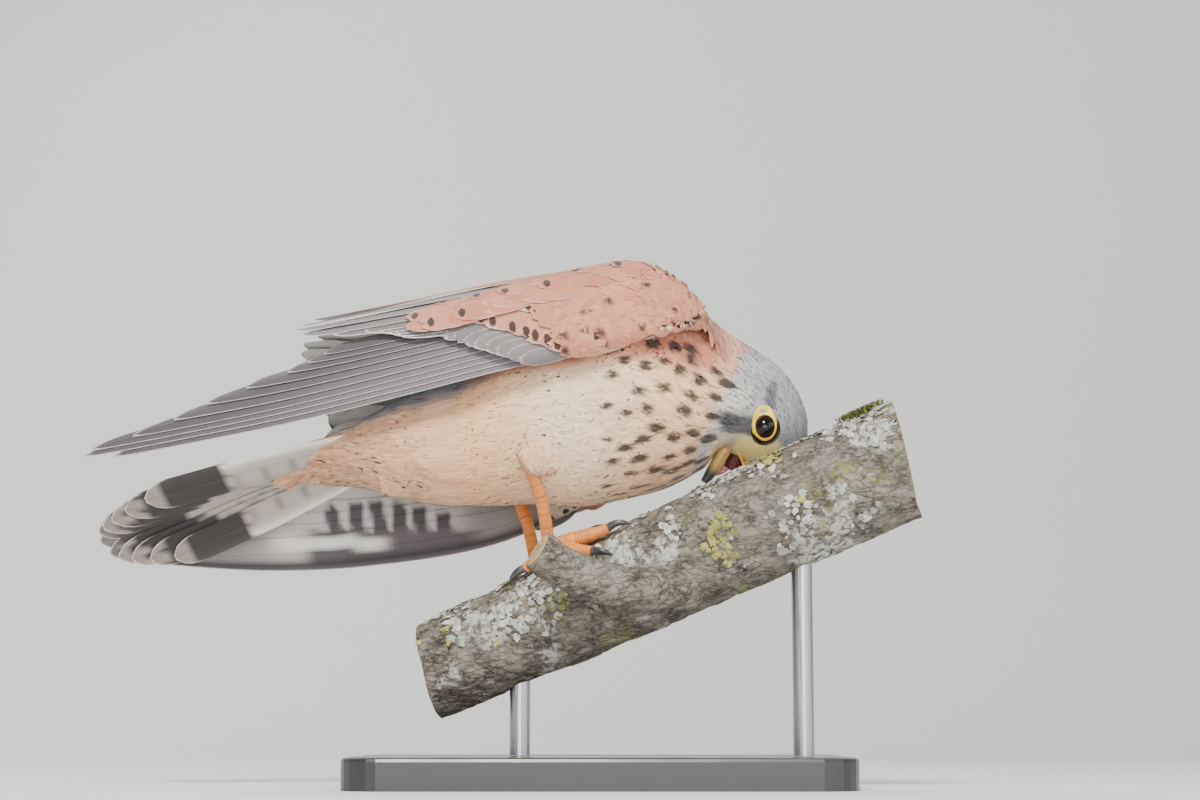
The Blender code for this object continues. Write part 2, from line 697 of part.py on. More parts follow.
def main():
    clear_scene()
    grey_feather = paint("grey_feather", (0.42, 0.42, 0.44))
    buff_feather = paint("buff_feather", (0.66, 0.50, 0.36))
    chestnut_feather = paint("chestnut_feather", (0.50, 0.26, 0.16))
    dark_feather = paint("dark_feather", (0.13, 0.12, 0.13))
    wax = paint("yellow_skin", (0.80, 0.62, 0.22), 0.45)
    skin = paint("orange_skin", (0.75, 0.38, 0.12), 0.5)
    horn = paint("dark_horn", (0.05, 0.05, 0.06), 0.3)
    eye_black = paint("dark_eye", (0.02, 0.012, 0.01), 0.05)
    bark = paint("bark", (0.30, 0.26, 0.20), 0.9)
    lacquer = paint("black_lacquer", (0.03, 0.03, 0.03), 0.35)
    steel = paint("steel", (0.55, 0.55, 0.56), 0.3, 1.0)

    torso = body_part("torso", TORSO_SPAN, 3, buff_feather)
    neck = body_part("neck", NECK_SPAN, 3, buff_feather)
    head, lower_bill = head_and_bill(grey_feather, wax, horn, eye_black)
    carve(lower_bill, neck)
    perch_body = perch(bark)

    folded = {
        "stretch": 1.0, "reach": -201, "width": 6.8,
        "primary_root": 20, "secondary_root": (8, 30), "secondary_tip": (18, 51), "top": 33,
        "tiers": (
            ("greater", 7, 13, (-12, -76), (1, 34)),
            ("median", 5, 25, (4, -44), (2, 30)),
        ),
    }
    drooped = {
        "stretch": 2.2, "reach": -181, "width": 12.5,
        "primary_root": 32, "secondary_root": (22, 54), "secondary_tip": (50, 96), "top": 60,
        "tiers": (
            ("greater", 8, 13, (-12, -74), (2, 72)),
            ("median", 6, 25, (4, -44), (4, 62)),
        ),
    }
    wing("right", (WING_RIGHT, -1), folded, dark_feather, chestnut_feather, torso)
    wing("left", (WING_LEFT, 1), drooped, dark_feather, chestnut_feather, torso)
    tail(torso, grey_feather)

    leg("right", -1, -8, math.radians(24), (-27, -26.5, 124), (-6, -20, 138),
        torso, buff_feather, skin, horn)
    leg("left", 1, -19, math.radians(-36), (-35, 22, 121), (-12, 18, 137),
        torso, buff_feather, skin, horn)
    stand(perch_body, lacquer, steel)


main()
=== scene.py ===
"""The finish of a life-size male common kestrel, feeding head down on a sloping branch.

The functions work in millimetres, and meshes are written in metres. X runs towards
the bird's head, Y towards its left side, Z up. The tables of the body, wings, tail
and perch are those of the part's own source.
"""

import math

import bmesh
import bpy
import numpy as np
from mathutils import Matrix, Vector, noise
from mathutils.bvhtree import BVHTree


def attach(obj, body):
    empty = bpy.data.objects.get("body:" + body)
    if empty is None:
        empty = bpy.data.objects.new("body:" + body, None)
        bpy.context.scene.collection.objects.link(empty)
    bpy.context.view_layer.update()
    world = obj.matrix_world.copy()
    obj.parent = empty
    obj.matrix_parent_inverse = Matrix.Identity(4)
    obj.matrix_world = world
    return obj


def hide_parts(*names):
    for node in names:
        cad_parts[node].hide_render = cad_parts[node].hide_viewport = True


MM = 0.001
SEED = 20

# The bake map: the size of one feather's patch on it, and what the unwrapped body and wings fill.
TUFT_PATCH = 0.003
BODY_PATCH = (15.5, 2 * math.pi)
WING_PATCH_START = -210
WING_PATCH_LENGTH = 260
WING_PATCH_HEIGHT = 120

# Body sections: place, back point x and z, belly point x and z, half width,
# how far the widest part sits towards the belly, and the turn to the left.
BODY = (
    (0, -90, 141.5, -85, 113.5, 12.5, 0.00, 0.0),
    (1, -59, 158, -53, 109.5, 22, 0.05, 0.0),
    (2, -29, 182, -24, 110, 28, 0.08, 0.0),
    (3, -8, 199.5, -6, 109, 31, 0.10, 0.0),
    (4, 10, 203, 10, 112, 32, 0.10, 0.0),
    (5, 27, 196.3, 24, 115.5, 30.5, 0.08, 0.0),
    (6, 42, 183.5, 33, 119, 27, 0.05, 0.2),
    (7, 53, 176, 38, 121.8, 23.5, 0.03, 0.6),
    (8, 62, 171, 41.5, 124, 20.5, 0.00, 1.2),
    (9, 71.5, 164, 42.8, 126.5, 18.8, 0.00, 1.8),
    (10, 78.5, 154.5, 44, 128.8, 18, 0.00, 2.4),
    (11, 82, 145, 45.3, 130.6, 17.6, 0.00, 2.9),
    (12, 82.3, 137, 47, 131.5, 16.4, 0.00, 3.3),
    (13, 80.5, 130.5, 49, 130.6, 13.4, 0.00, 3.7),
    (14, 75, 125.8, 52, 129.2, 9.6, 0.00, 4.0),
    (15, 67.5, 123.6, 56.3, 127, 5.8, 0.00, 4.2),
)

# How far the skin lies under the feathers of the body and of the face.
COAT_DEPTH = 1.6
FACE_COAT_DEPTH = 0.7

# The eyes: the point of the head's median between them, their distance from it, the eyeball,
# and the half length and half height of the opening and of the bare ring.
EYE = Vector((63.9, 2.8, 138.3))
EYE_FROM_MEDIAN = 12.6
EYE_RADIUS = 6.8
EYE_OPENING = (3.75, 4.5)
EYE_RING = (5.1, 7.0)

# Bill sections: back point x and z, mouth point x and z, half width, turn.
CERE = (
    (67.5, 123.6, 56.3, 127.0, 5.8, 4.2),
    (67.4, 120.2, 56.8, 123.6, 5.4, 4.3),
    (66.6, 117.6, 57.3, 120.6, 4.8, 4.4),
)
UPPER_BILL = (
    (66.5, 117.2, 57.3, 120.2, 4.6, 4.4),
    (65.2, 113.2, 56.9, 117.0, 3.8, 4.6),
    (62.3, 109.8, 55.9, 114.4, 2.8, 4.8),
    (58.8, 107.8, 54.9, 112.0, 1.7, 4.9),
    (55.4, 107.6, 53.9, 109.2, 0.7, 5.0),
)
LOWER_BILL = (
    (52.6, 130.2, 46.4, 133.4, 5.6, 3.6),
    (49.6, 125.6, 44.4, 128.4, 5.0, 3.7),
    (46.4, 121.2, 41.9, 123.8, 3.9, 3.8),
    (42.7, 117.6, 39.7, 119.4, 2.2, 3.9),
)

# The stretch between bill and eye in the side view, from end to end, and the nostrils.
LORE = ((66.5, 129.5), (57, 130))
NOSTRIL = Vector((62.4, 4.3, 121.0))
NOSTRIL_FROM_MEDIAN = 4.6

# Feet: the place of the foot on the branch, its angle round it, the heel and the knee.
LEGS = (
    ("right", -1, -8, math.radians(24), (-27, -26.5, 124), (-6, -20, 138)),
    ("left", 1, -19, math.radians(-36), (-35, 22, 121), (-12, 18, 137)),
)

# Toes: name, bearing in degrees from the bird's front, and length.
TOES = (("middle", 6, 24), ("inner", -20, 17), ("outer", 34, 18.5), ("hind", 172, 12))

# Wings: place along the bird, height and distance of the leading edge, and how much of the
# sheet is straight before it curls over the back.
WING_RIGHT = (
    (40, 175.5, 25, 0),
    (15, 169.5, 31, 0),
    (-12, 162.8, 33, 0),
    (-39, 157.3, 32, 0),
    (-77, 148.6, 28, 0),
    (-120, 139.7, 21, 0),
    (-160, 132.6, 15, 0),
    (-201, 125.5, 9, 0),
)
WING_LEFT = (
    (40, 150, 29, 22),
    (15, 127, 35, 38),
    (-12, 110, 37, 48),
    (-46, 97, 36, 50),
    (-96, 90, 32, 46),
    (-135, 88.8, 27, 40),
    (-181, 91.5, 20, 34),
)
CURL_RADIUS = 40

# Where the rounded front of a wing begins along the bird, and how long it is.
FRONT_START = 18
FRONT_LENGTH = 24.5

# The primaries' tips: place along the bird and distance above the leading edge.
PRIMARY_TIPS = (
    (-188, -2.2), (-200, 0.0), (-197, 2.0), (-181, 4.2), (-165, 7.5),
    (-152, 11.3), (-137, 14.8), (-121, 18), (-113, 20.5), (-107, 23),
)

# The branch: place along it, the axis's y and z, and the radius; then its stub: the step, the
# axis's point and the radius.
PERCH = (
    (-66, 7, 44.5, 18.5),
    (-30, 0, 60, 19.2),
    (0, -5.5, 73.3, 20.3),
    (40, -13, 91.3, 21.5),
    (62, -17, 101, 22),
    (116, -28, 123.5, 22.6),
)
STUB = (
    (0, 36, -8, 84, 9.5),
    (1, 28, -24, 76, 9.2),
    (2, 8, -36, 75, 8.4),
    (3, -10, -42, 80, 7.8),
    (4, -23, -46, 88, 7.6),
)
BARK_RELIEF = 0.9
BARK_PITCH = 16

# Toes lie round the bark on this radius, and reach along x by this share of their length,
# because the branch slopes.
TOE_TURN_RADIUS = 22
TOE_SLANT = 0.91

# The outline of the back and shoulders in the side view: x and z.
BACK_LINE = (
    (-120, 184),
    (-99, 189),
    (-72, 195.7),
    (-48, 202),
    (-20, 205.5),
    (0, 205.3),
    (17.7, 201.4),
    (27.3, 196.3),
    (33.7, 190.8),
    (43.2, 182.2),
    (54, 175),
)
SHEET_THICKNESS = 0.55

TAIL_ROOT = (-75, 0, 138)
TAIL_DROP = math.radians(20.5)
TAIL_TWIST = math.radians(42)
TAIL_LENGTH = 128

# The camera: distance and aim in metres, focal length and sensor in millimetres.
CAMERA_DISTANCE = 0.9
CAMERA_RISE = math.radians(8)
CAMERA_AIM = (0, -0.02, 0.148)
FOCAL_LENGTH = 70
SENSOR_WIDTH = 36

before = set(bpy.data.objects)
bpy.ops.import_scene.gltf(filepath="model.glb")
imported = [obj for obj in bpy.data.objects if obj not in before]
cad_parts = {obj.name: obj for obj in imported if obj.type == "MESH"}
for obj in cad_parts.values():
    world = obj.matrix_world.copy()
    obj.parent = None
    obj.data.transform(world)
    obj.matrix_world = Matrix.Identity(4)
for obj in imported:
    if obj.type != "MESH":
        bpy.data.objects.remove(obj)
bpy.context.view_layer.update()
rng = np.random.default_rng(SEED)


def cubic(start, leave, end, arrive, u):
    """The cubic from start to end, with its slopes there, at the share u."""
    return (
        start * (2 * u**3 - 3 * u**2 + 1) + leave * (u**3 - 2 * u**2 + u)
        + end * (3 * u**2 - 2 * u**3) + arrive * (u**3 - u**2)
    )


def read(table, place):
    """The other columns of a table where its first column is the place, on smooth spans."""
    rows = np.array(table if table[0][0] < table[-1][0] else table[::-1], float)
    place = np.clip(np.asarray(place, float), rows[0, 0], rows[-1, 0])
    last = len(rows) - 1
    span = np.clip(np.searchsorted(rows[:, 0], place, side="right") - 1, 0, last - 1)
    start, end = rows[span], rows[span + 1]
    before, after = rows[np.maximum(span - 1, 0)], rows[np.minimum(span + 2, last)]
    step = (end - start)[..., :1]
    u = (place[..., None] - start[..., :1]) / step
    slope_start = (end - before) / (end - before)[..., :1] * step
    slope_end = (after - start) / (after - start)[..., :1] * step
    return np.moveaxis(cubic(start, slope_start, end, slope_end, u)[..., 1:], -1, 0)


def unit(vectors):
    """Vectors of length one."""
    return vectors / np.maximum(np.linalg.norm(vectors, axis=-1, keepdims=True), 1e-9)


def ease(low, high, value):
    """Zero below low, one above high, smooth between them."""
    share = np.clip((value - low) / (high - low), 0, 1)
    return share * share * (3 - 2 * share)


def blend_colours(first, second, share):
    """Colours from the first to the second by a share for each point."""
    share = np.asarray(share)[..., None]
    return np.asarray(first) * (1 - share) + np.asarray(second) * share


def layered(colour, *layers):
    """A colour with others laid over it, each by its share."""
    for other, share in layers:
        colour = blend_colours(colour, other, share)
    return colour


def body_point(place, angle, inset=0.0):
    """Points of the body's surface: place along it, angle from the back round by the left side."""
    back_x, back_z, belly_x, belly_z, half_width, weight, turn = read(BODY, place)
    half = np.hypot(back_x - belly_x, back_z - belly_z) / 2
    shrink_high = 1 - inset / half
    shrink_wide = 1 - inset / half_width
    rise = np.cos(angle) / 2 * shrink_high
    x = (back_x + belly_x) / 2 + (back_x - belly_x) * rise
    z = (back_z + belly_z) / 2 + (back_z - belly_z) * rise
    y = turn + half_width * shrink_wide * np.sin(angle) * (1 - weight * np.cos(angle))
    return np.stack(np.broadcast_arrays(x, y, z), -1)


def wing_point(table, side, x, t, n):
    """Points of a wing sheet: x along the bird, t up from the leading edge, n outwards."""
    x, t, n = np.broadcast_arrays(np.asarray(x, float), t, n)
    edge_z, edge_y, straight = read(table, x)
    turn = np.maximum(t - straight, 0) / CURL_RADIUS
    rise = np.minimum(t, straight) + CURL_RADIUS * np.sin(np.minimum(turn, math.pi / 2))
    y = edge_y - CURL_RADIUS * (1 - np.cos(turn))
    return np.stack([x, side * (y + n * np.cos(turn)), edge_z + rise + n * np.sin(turn)], -1)


class Piece:
    """A mesh that is gathered bit by bit, with what its shader reads at each point.

    Tint is the colour. Vane holds how far along and across its feather a point is, and the
    feather's random number. Mark is the feather's dark spot. Edge is the distance to the rim,
    and the width and strength of the pale fringe.
    """

    def __init__(self, name):
        self.name = name
        self.points, self.faces, self.uvs, self.rims = [], [], [], []
        self.extra = {"tint": [], "vane": [], "mark": [], "edge": []}
        self.count = 0

    def add(self, points, faces, uvs, tint, vane, mark, edge):
        """Many copies of one grid: points are copies x grid x 3, faces index one grid."""
        copies, size = points.shape[:2]
        shifts = self.count + np.arange(copies)[:, None, None] * size
        rim = np.zeros(size, bool)
        rim[np.intersect1d(faces[:len(faces) // 2], faces[len(faces) // 2:])] = True
        self.rims.append(np.tile(rim, copies))
        self.faces.append((faces[None] + shifts).reshape(-1, 4))
        self.points.append(points.reshape(-1, 3))
        self.uvs.append(uvs.reshape(-1, 2))
        for key, values in (("tint", tint), ("vane", vane), ("mark", mark), ("edge", edge)):
            self.extra[key].append(np.broadcast_to(values, points.shape).reshape(-1, 3))
        self.count += copies * size

    def build(self, material, nodes=()):
        points = np.concatenate(self.points) * MM
        item = mesh_item(self.name, points, np.concatenate(self.faces), material)
        mesh = item.data
        for key, values in self.extra.items():
            write_points(mesh, key, np.concatenate(values))
        write_uv(mesh, np.concatenate(self.uvs))
        mesh.shade_smooth()
        ends = np.empty(len(mesh.edges) * 2, np.int32)
        mesh.edges.foreach_get("vertices", ends)
        sharp = np.concatenate(self.rims)[ends.reshape(-1, 2)].all(1)
        mesh.attributes.new("sharp_edge", "BOOLEAN", "EDGE").data.foreach_set("value", sharp)
        return dress(item, nodes)


def write_points(mesh, name, values):
    """Three numbers at each point, for the shaders."""
    layer = mesh.attributes.new(name, "FLOAT_VECTOR", "POINT")
    layer.data.foreach_set("vector", values.astype(np.float32).ravel())


def write_uv(mesh, per_point):
    """The bake map, from a place for each point."""
    corners = np.empty(len(mesh.loops), np.int32)
    mesh.loops.foreach_get("vertex_index", corners)
    layer = mesh.uv_layers.new(name="OFBake")
    layer.data.foreach_set("uv", per_point[corners].astype(np.float32).ravel())


def mesh_item(name, points, faces, material):
    """A mesh object from points in metres and quads."""
    mesh = bpy.data.meshes.new(name)
    faces = np.asarray(faces, np.int32)
    mesh.vertices.add(len(points))
    mesh.vertices.foreach_set("co", np.asarray(points, np.float32).ravel())
    mesh.loops.add(faces.size)
    mesh.loops.foreach_set("vertex_index", faces.ravel())
    mesh.polygons.add(len(faces))
    mesh.polygons.foreach_set("loop_start", np.arange(len(faces), dtype=np.int32) * 4)
    mesh.update(calc_edges=True)
    mesh.validate()
    mesh.materials.append(material)
    item = bpy.data.objects.new(name, mesh)
    bpy.context.scene.collection.objects.link(item)
    return item


def dress(item, nodes=()):
    """The piece rides with the model and stands for the given nodes."""
    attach(item, "root")
    if nodes:
        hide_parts(*nodes)
    return item


def grid_faces(rows, columns, closed=False):
    """Quads of a grid of rows of points, closed round each row if asked."""
    grid = np.arange(rows * columns).reshape(rows, columns)
    if closed:
        grid = np.concatenate([grid, grid[:, :1]], 1)
    return np.stack([grid[:-1, :-1], grid[:-1, 1:], grid[1:, 1:], grid[1:, :-1]], -1).reshape(-1, 4)


def ring_grid(places, count):
    """Places along a form and angles round it, as a grid with a row for each place."""
    return np.meshgrid(places, np.linspace(0, 2 * math.pi, count, endpoint=False), indexing="ij")


def smooth_solid(name, rings, material, nodes=(), tint=None):
    """A closed solid through rings of points, its ends closed by a point at their middle."""
    rings = np.asarray(rings, float)
    rows, columns = rings.shape[:2]
    points = np.concatenate([rings.reshape(-1, 3), rings[:1].mean(1), rings[-1:].mean(1)])
    faces = [grid_faces(rows, columns, True)]
    ring = np.arange(columns)
    ahead = (ring + 1) % columns
    start, end = rows * columns, rows * columns + 1
    faces.append(np.stack([ahead, ring, np.full(columns, start), np.full(columns, start)], -1))
    base = (rows - 1) * columns
    faces.append(np.stack([base + ring, base + ahead, np.full(columns, end), np.full(columns, end)], -1))
    item = solid_item(name, points, np.concatenate(faces), material)
    u, v = np.meshgrid(np.linspace(0, 1, columns), np.linspace(0, 1, rows))
    write_uv(item.data, np.concatenate([np.stack([u, v], -1).reshape(-1, 2), [[0.5, 0], [0.5, 1]]]))
    if tint is not None:
        write_points(item.data, "tint", np.concatenate([tint.reshape(-1, 3), tint[0, :1], tint[-1, :1]]))
    return dress(item, nodes)


def solid_item(name, points, faces, material):
    """A mesh object from millimetres, with triangles where a quad repeats its last corner."""
    clean = [tuple(face[:3]) if face[2] == face[3] else tuple(face) for face in faces.tolist()]
    mesh = bpy.data.meshes.new(name)
    mesh.from_pydata((np.asarray(points) * MM).tolist(), [], clean)
    mesh.update()
    mesh.materials.append(material)
    mesh.shade_smooth()
    item = bpy.data.objects.new(name, mesh)
    bpy.context.scene.collection.objects.link(item)
    return item


def srgb(red, green, blue):
    """The linear colour of an 8-bit display colour."""
    shares = np.array([red, green, blue]) / 255
    return np.where(shares <= 0.04045, shares / 12.92, ((shares + 0.055) / 1.055) ** 2.4)


CHESTNUT = srgb(190, 118, 92)
CHESTNUT_PALE = srgb(218, 160, 134)
BUFF = srgb(236, 188, 142)
BUFF_PALE = srgb(244, 216, 182)
GREY = srgb(142, 143, 149)
GREY_PALE = srgb(186, 187, 191)
RUMP = srgb(126, 134, 148)
WHITE = srgb(236, 232, 224)
SOOT = srgb(38, 33, 32)
MOUSTACHE = srgb(70, 68, 72)
LINING = srgb(228, 214, 196)
NAPE = srgb(232, 190, 160)


class Graph:
    """A material's shader nodes, written as calls."""

    def __init__(self, name, **constants):
        self.material = bpy.data.materials.new(name)
        self.material.use_nodes = True
        self.tree = self.material.node_tree
        self.shader = self.tree.nodes["Principled BSDF"]
        for key, value in constants.items():
            self.shader.inputs[key.replace("_", " ")].default_value = value

    def node(self, kind, inputs=(), **settings):
        made = self.tree.nodes.new(kind)
        for key, value in settings.items():
            setattr(made, key, value)
        for key, value in dict(inputs).items():
            self.feed(made.inputs[key], value)
        return made

    def feed(self, socket, value):
        if isinstance(value, bpy.types.NodeSocket):
            self.tree.links.new(value, socket)
        elif isinstance(value, (int, float)):
            socket.default_value = value
        else:
            value = tuple(float(part) for part in value)
            lacks_alpha = len(socket.default_value) == 4 and len(value) == 3
            socket.default_value = value + (1,) if lacks_alpha else value

    def math(self, operation, first, second=0.0, third=0.0):
        values = {0: first, 1: second, 2: third}
        return self.node("ShaderNodeMath", values, operation=operation).outputs[0]

    def add(self, first, second):
        return self.math("ADD", first, second)

    def times(self, first, second):
        return self.math("MULTIPLY", first, second)

    def smooth(self, value, low, high, start=0.0, end=1.0):
        """The value from low to high, as start to end, eased."""
        made = self.node("ShaderNodeMapRange", interpolation_type="SMOOTHSTEP")
        for key, given in (("Value", value), ("From Min", low), ("From Max", high), ("To Min", start),
                           ("To Max", end)):
            self.feed(made.inputs[key], given)
        return made.outputs["Result"]

    def mix(self, share, first, second, blend="MIX"):
        made = self.node("ShaderNodeMix", data_type="RGBA", blend_type=blend)
        self.feed(made.inputs[0], share)
        self.feed(made.inputs[6], first)
        self.feed(made.inputs[7], second)
        return made.outputs[2]

    def shade(self, colour, tone):
        """The colour, times a number."""
        grey = self.node("ShaderNodeCombineColor")
        for socket in grey.inputs:
            self.feed(socket, tone)
        return self.mix(1.0, colour, grey.outputs[0], "MULTIPLY")

    def place(self, scale=(1, 1, 1), turn=(0, 0, 0)):
        """Object coordinates in metres, scaled and turned."""
        source = self.node("ShaderNodeTexCoord").outputs["Object"]
        made = self.node("ShaderNodeMapping", {"Vector": source, "Scale": scale, "Rotation": turn})
        return made.outputs[0]

    def noise(self, scale, detail=4.0, rough=0.55, vector=None):
        made = self.node("ShaderNodeTexNoise", {
            "Vector": vector or self.place(), "Scale": scale, "Detail": detail, "Roughness": rough,
        })
        return made.outputs[0]

    def cells(self, scale, vector=None, feature="F1"):
        """The distance to the nearest point or edge of random cells."""
        made = self.node("ShaderNodeTexVoronoi", {"Vector": vector or self.place(), "Scale": scale},
                         feature=feature)
        return made.outputs["Distance"]

    def values(self, name):
        """The three numbers of a point attribute."""
        source = self.node("ShaderNodeAttribute", attribute_name=name).outputs["Vector"]
        return self.node("ShaderNodeSeparateXYZ", {0: source}).outputs

    def colours(self, name):
        return self.node("ShaderNodeAttribute", attribute_name=name).outputs["Color"]

    def finish(self, colour, rough=None, height=None, depth=0.0002):
        self.feed(self.shader.inputs["Base Color"], colour)
        if rough is not None:
            self.feed(self.shader.inputs["Roughness"], rough)
        if height is not None:
            bump = self.node("ShaderNodeBump", {"Height": height, "Distance": depth, "Strength": 1.0})
            self.feed(self.shader.inputs["Normal"], bump.outputs[0])
        return self.material


def chestnut(shape, low, high):
    """Chestnuts between the deep and the pale one, picked at random."""
    return blend_colours(CHESTNUT, CHESTNUT_PALE, rng.uniform(low, high, shape))


def plumage(name, pale, flight=False):
    """Feathers: barbs and shaft, a dark mark, and a pale rim; flight feathers are smoother."""
    g = Graph(name, Roughness=0.62 if flight else 0.78, Specular_IOR_Level=0.3, Sheen_Weight=0.25,
              Sheen_Roughness=0.45)
    along, across, seed = g.values("vane")
    centre, half_length, half_width = g.values("mark")
    rim, fringe, strength = g.values("edge")
    side = g.math("ABSOLUTE", across)
    grain = g.noise(900, 3)
    wobble = g.math("MULTIPLY_ADD", grain, 0.9, -0.45)
    far = g.math("DIVIDE", g.math("SUBTRACT", along, centre), g.math("MAXIMUM", half_length, 0.01))
    wide = g.math("DIVIDE", side, g.math("MAXIMUM", half_width, 0.01))
    reach = g.math("SQRT", g.add(g.times(far, far), g.times(wide, wide)))
    spot = g.smooth(g.add(reach, wobble), 0.8, 1.15, 1.0, 0.0)
    spot = g.times(spot, g.math("GREATER_THAN", half_length, 0.02))
    colour = g.mix(g.times(spot, 0.94), g.colours("tint"), SOOT)
    ragged = g.add(rim, g.times(wobble, 0.5))
    border = g.smooth(ragged, g.times(fringe, 0.45), fringe, 1.0, 0.0)
    colour = g.mix(g.times(border, strength), colour, pale)
    slant = g.math("MULTIPLY_ADD", side, 1.25, g.times(along, 0.9))
    barb = g.math("SINE", g.add(g.times(slant, 9.5 if flight else 8.0), g.times(wobble, 4.0)))
    shaft = g.smooth(side, 0.16, 0.34, 1.0, 0.0)
    tone = g.math("MULTIPLY_ADD", seed, 0.14, 0.96)
    tone = g.add(tone, g.times(barb, 0.03))
    tone = g.add(tone, g.times(g.noise(260, 2), 0.12))
    tone = g.math("SUBTRACT", tone, g.add(g.times(shaft, 0.16 if flight else 0.05), 0.06))
    colour = g.shade(colour, tone)
    height = g.add(g.times(barb, 0.35), g.times(shaft, 0.9))
    return g.finish(colour, height=height, depth=0.00012)


FEATHERS = plumage("plumage", WHITE)
FLIGHT_FEATHERS = plumage("flight_plumage", WHITE, flight=True)


def slopes(surface, a, b, step_a, step_b):
    """The surface's two tangents at a, b."""
    along = (surface(a + step_a, b) - surface(a - step_a, b)) / (2 * step_a)
    across = (surface(a, b + step_b) - surface(a, b - step_b)) / (2 * step_b)
    return along, across


def vane_grid(rows, columns):
    """A thin closed blade: top points row by row, then the bottom's inner points."""
    top = np.arange(rows * columns).reshape(rows, columns)
    bottom = top.copy()
    inner = (rows - 2) * (columns - 2)
    bottom[1:-1, 1:-1] = rows * columns + np.arange(inner).reshape(rows - 2, columns - 2)
    faces = []
    for grid, flip in ((top, False), (bottom, True)):
        quads = np.stack([grid[:-1, :-1], grid[:-1, 1:], grid[1:, 1:], grid[1:, :-1]], -1).reshape(-1, 4)
        faces.append(quads[:, ::-1] if flip else quads)
    u, v = np.meshgrid(np.linspace(0, 1, rows), np.linspace(-1, 1, columns), indexing="ij")
    under = np.concatenate([np.zeros(rows * columns), np.ones(inner)])
    u = np.concatenate([u.ravel(), u[1:-1, 1:-1].ravel()])
    v = np.concatenate([v.ravel(), v[1:-1, 1:-1].ravel()])
    return u, v, under, np.concatenate(faces)


def outline(u, tip=0.45, root=0.4, blunt=0.3):
    """Half the width of a feather at u, as a share of its widest."""
    grow = root + (1 - root) * np.sin(np.clip(u / 0.5, 0, 1) * math.pi / 2)
    fall = np.clip((u - (1 - tip)) / tip, 0, 1)
    return grow * np.sqrt(np.maximum(1 - fall ** 2.2, blunt ** 2))


def feathers(piece, surface, a, b, length, width, **given):
    """Feathers rooted at a, b of a surface, lying towards smaller a unless turned.

    Lengths are millimetres. The keywords give the turn of the lie, how high the tip
    stands, how deep the root sits, the crown, the thickness, the colours and the marks.
    """
    want = {"lean": 0.0, "lift": 0.9, "sink": 0.5, "crown": 0.25, "thick": 0.16, "rows": 5, "columns": 5,
            "tip": 0.45, "root": 0.4, "blunt": 0.3, "fray": 0.05, "height": 0.0, "rise_power": 1.2,
            "mark": (0, 0, 0), "edge": (0, 0), "unwrap": None, "steps": (0.01, 0.01), "outward": -1}
    want.update(given)
    count = len(a)
    u, v, under, faces = vane_grid(want["rows"], want["columns"])
    u = u ** 0.6
    faces = faces[:, ::-1] if want["outward"] > 0 else faces
    column = {key: np.broadcast_to(np.asarray(want[key], float), count)[:, None]
              for key in ("lean", "lift", "sink", "crown", "thick", "height")}
    long = np.broadcast_to(np.asarray(length, float), count)[:, None]
    half = np.broadcast_to(np.asarray(width, float), count)[:, None] / 2
    seed = rng.random((count, 1))
    ragged = 1 + want["fray"] * (rng.random((count, len(u))) - 0.5) * 2 * (u > 0.6)
    shape = outline(u, want["tip"], want["root"], want["blunt"])
    rise_along, rise_across = slopes(surface, a, b, *want["steps"])
    back = -unit(rise_along)
    side = unit(rise_across - back * (rise_across * back).sum(-1, keepdims=True))
    lie = back * np.cos(column["lean"]) + side * np.sin(column["lean"])
    cross = side * np.cos(column["lean"]) - back * np.sin(column["lean"])
    aa = (rise_along ** 2).sum(-1)
    ab = (rise_along * rise_across).sum(-1)
    bb = (rise_across ** 2).sum(-1)
    spread = np.maximum(aa * bb - ab * ab, 1e-9)

    def shift(direction):
        first = (direction * rise_along).sum(-1)
        second = (direction * rise_across).sum(-1)
        return ((bb * first - ab * second) / spread)[:, None], ((aa * second - ab * first) / spread)[:, None]

    lie_a, lie_b = shift(lie)
    cross_a, cross_b = shift(cross)
    far = u * long * ragged
    wide = v * half * shape
    at_a = a[:, None] + lie_a * far + cross_a * wide
    at_b = b[:, None] + lie_b * far + cross_b * wide
    points = surface(at_a, at_b)
    tangent_a, tangent_b = slopes(surface, at_a, at_b, *want["steps"])
    normal = unit(np.cross(tangent_b, tangent_a)) * want["outward"]
    lift = -column["sink"] + (column["sink"] + column["lift"]) * u ** want["rise_power"]
    lift = lift + column["crown"] * (1 - v ** 2) * shape + column["height"] - under * column["thick"]
    points = points + normal * lift[..., None]
    vane = np.stack(np.broadcast_arrays(far, wide, seed), -1)
    mark = np.broadcast_to(np.asarray(want["mark"], float).reshape(-1, 1, 3), points.shape)
    rim = np.minimum((1 - np.abs(v)) * half * shape, (1 - u) * long)
    edge = np.broadcast_to(np.asarray(want["edge"], float).reshape(-1, 1, 2), (count, len(u), 2))
    edge = np.concatenate([rim[..., None], edge], -1)
    spot = want["unwrap"] if want["unwrap"] is not None else np.stack([a, b], -1)
    uvs = spot[:, None] + TUFT_PATCH * np.stack(np.broadcast_arrays(v[None] / 2, u[None] - 0.5), -1)
    if callable(want["tint"]):
        tint = want["tint"](at_a, at_b, points)
    else:
        tint = np.asarray(want["tint"], float)
        tint = tint.reshape(-1, 1, 3) if tint.ndim < 3 else tint
    piece.add(points, faces, uvs, tint, vane, mark, edge)


SOFT = {"crown": 0.1, "thick": 0.1, "rows": 6, "columns": 4, "blunt": 0.2, "tip": 0.6, "fray": 0.12}


def marks(chosen, count, centre, half_length, half_width):
    """Marks on the chosen feathers: how far along they lie, and their half length and width."""
    mark = np.zeros((count, 3))
    values = np.broadcast_arrays(np.zeros(count), centre, half_length, half_width)[1:]
    mark[chosen] = np.stack(values, -1)[chosen]
    return mark


def sway(count, amount):
    """A random turn of each feather, up to half the amount either way."""
    return (rng.random(count) - 0.5) * amount


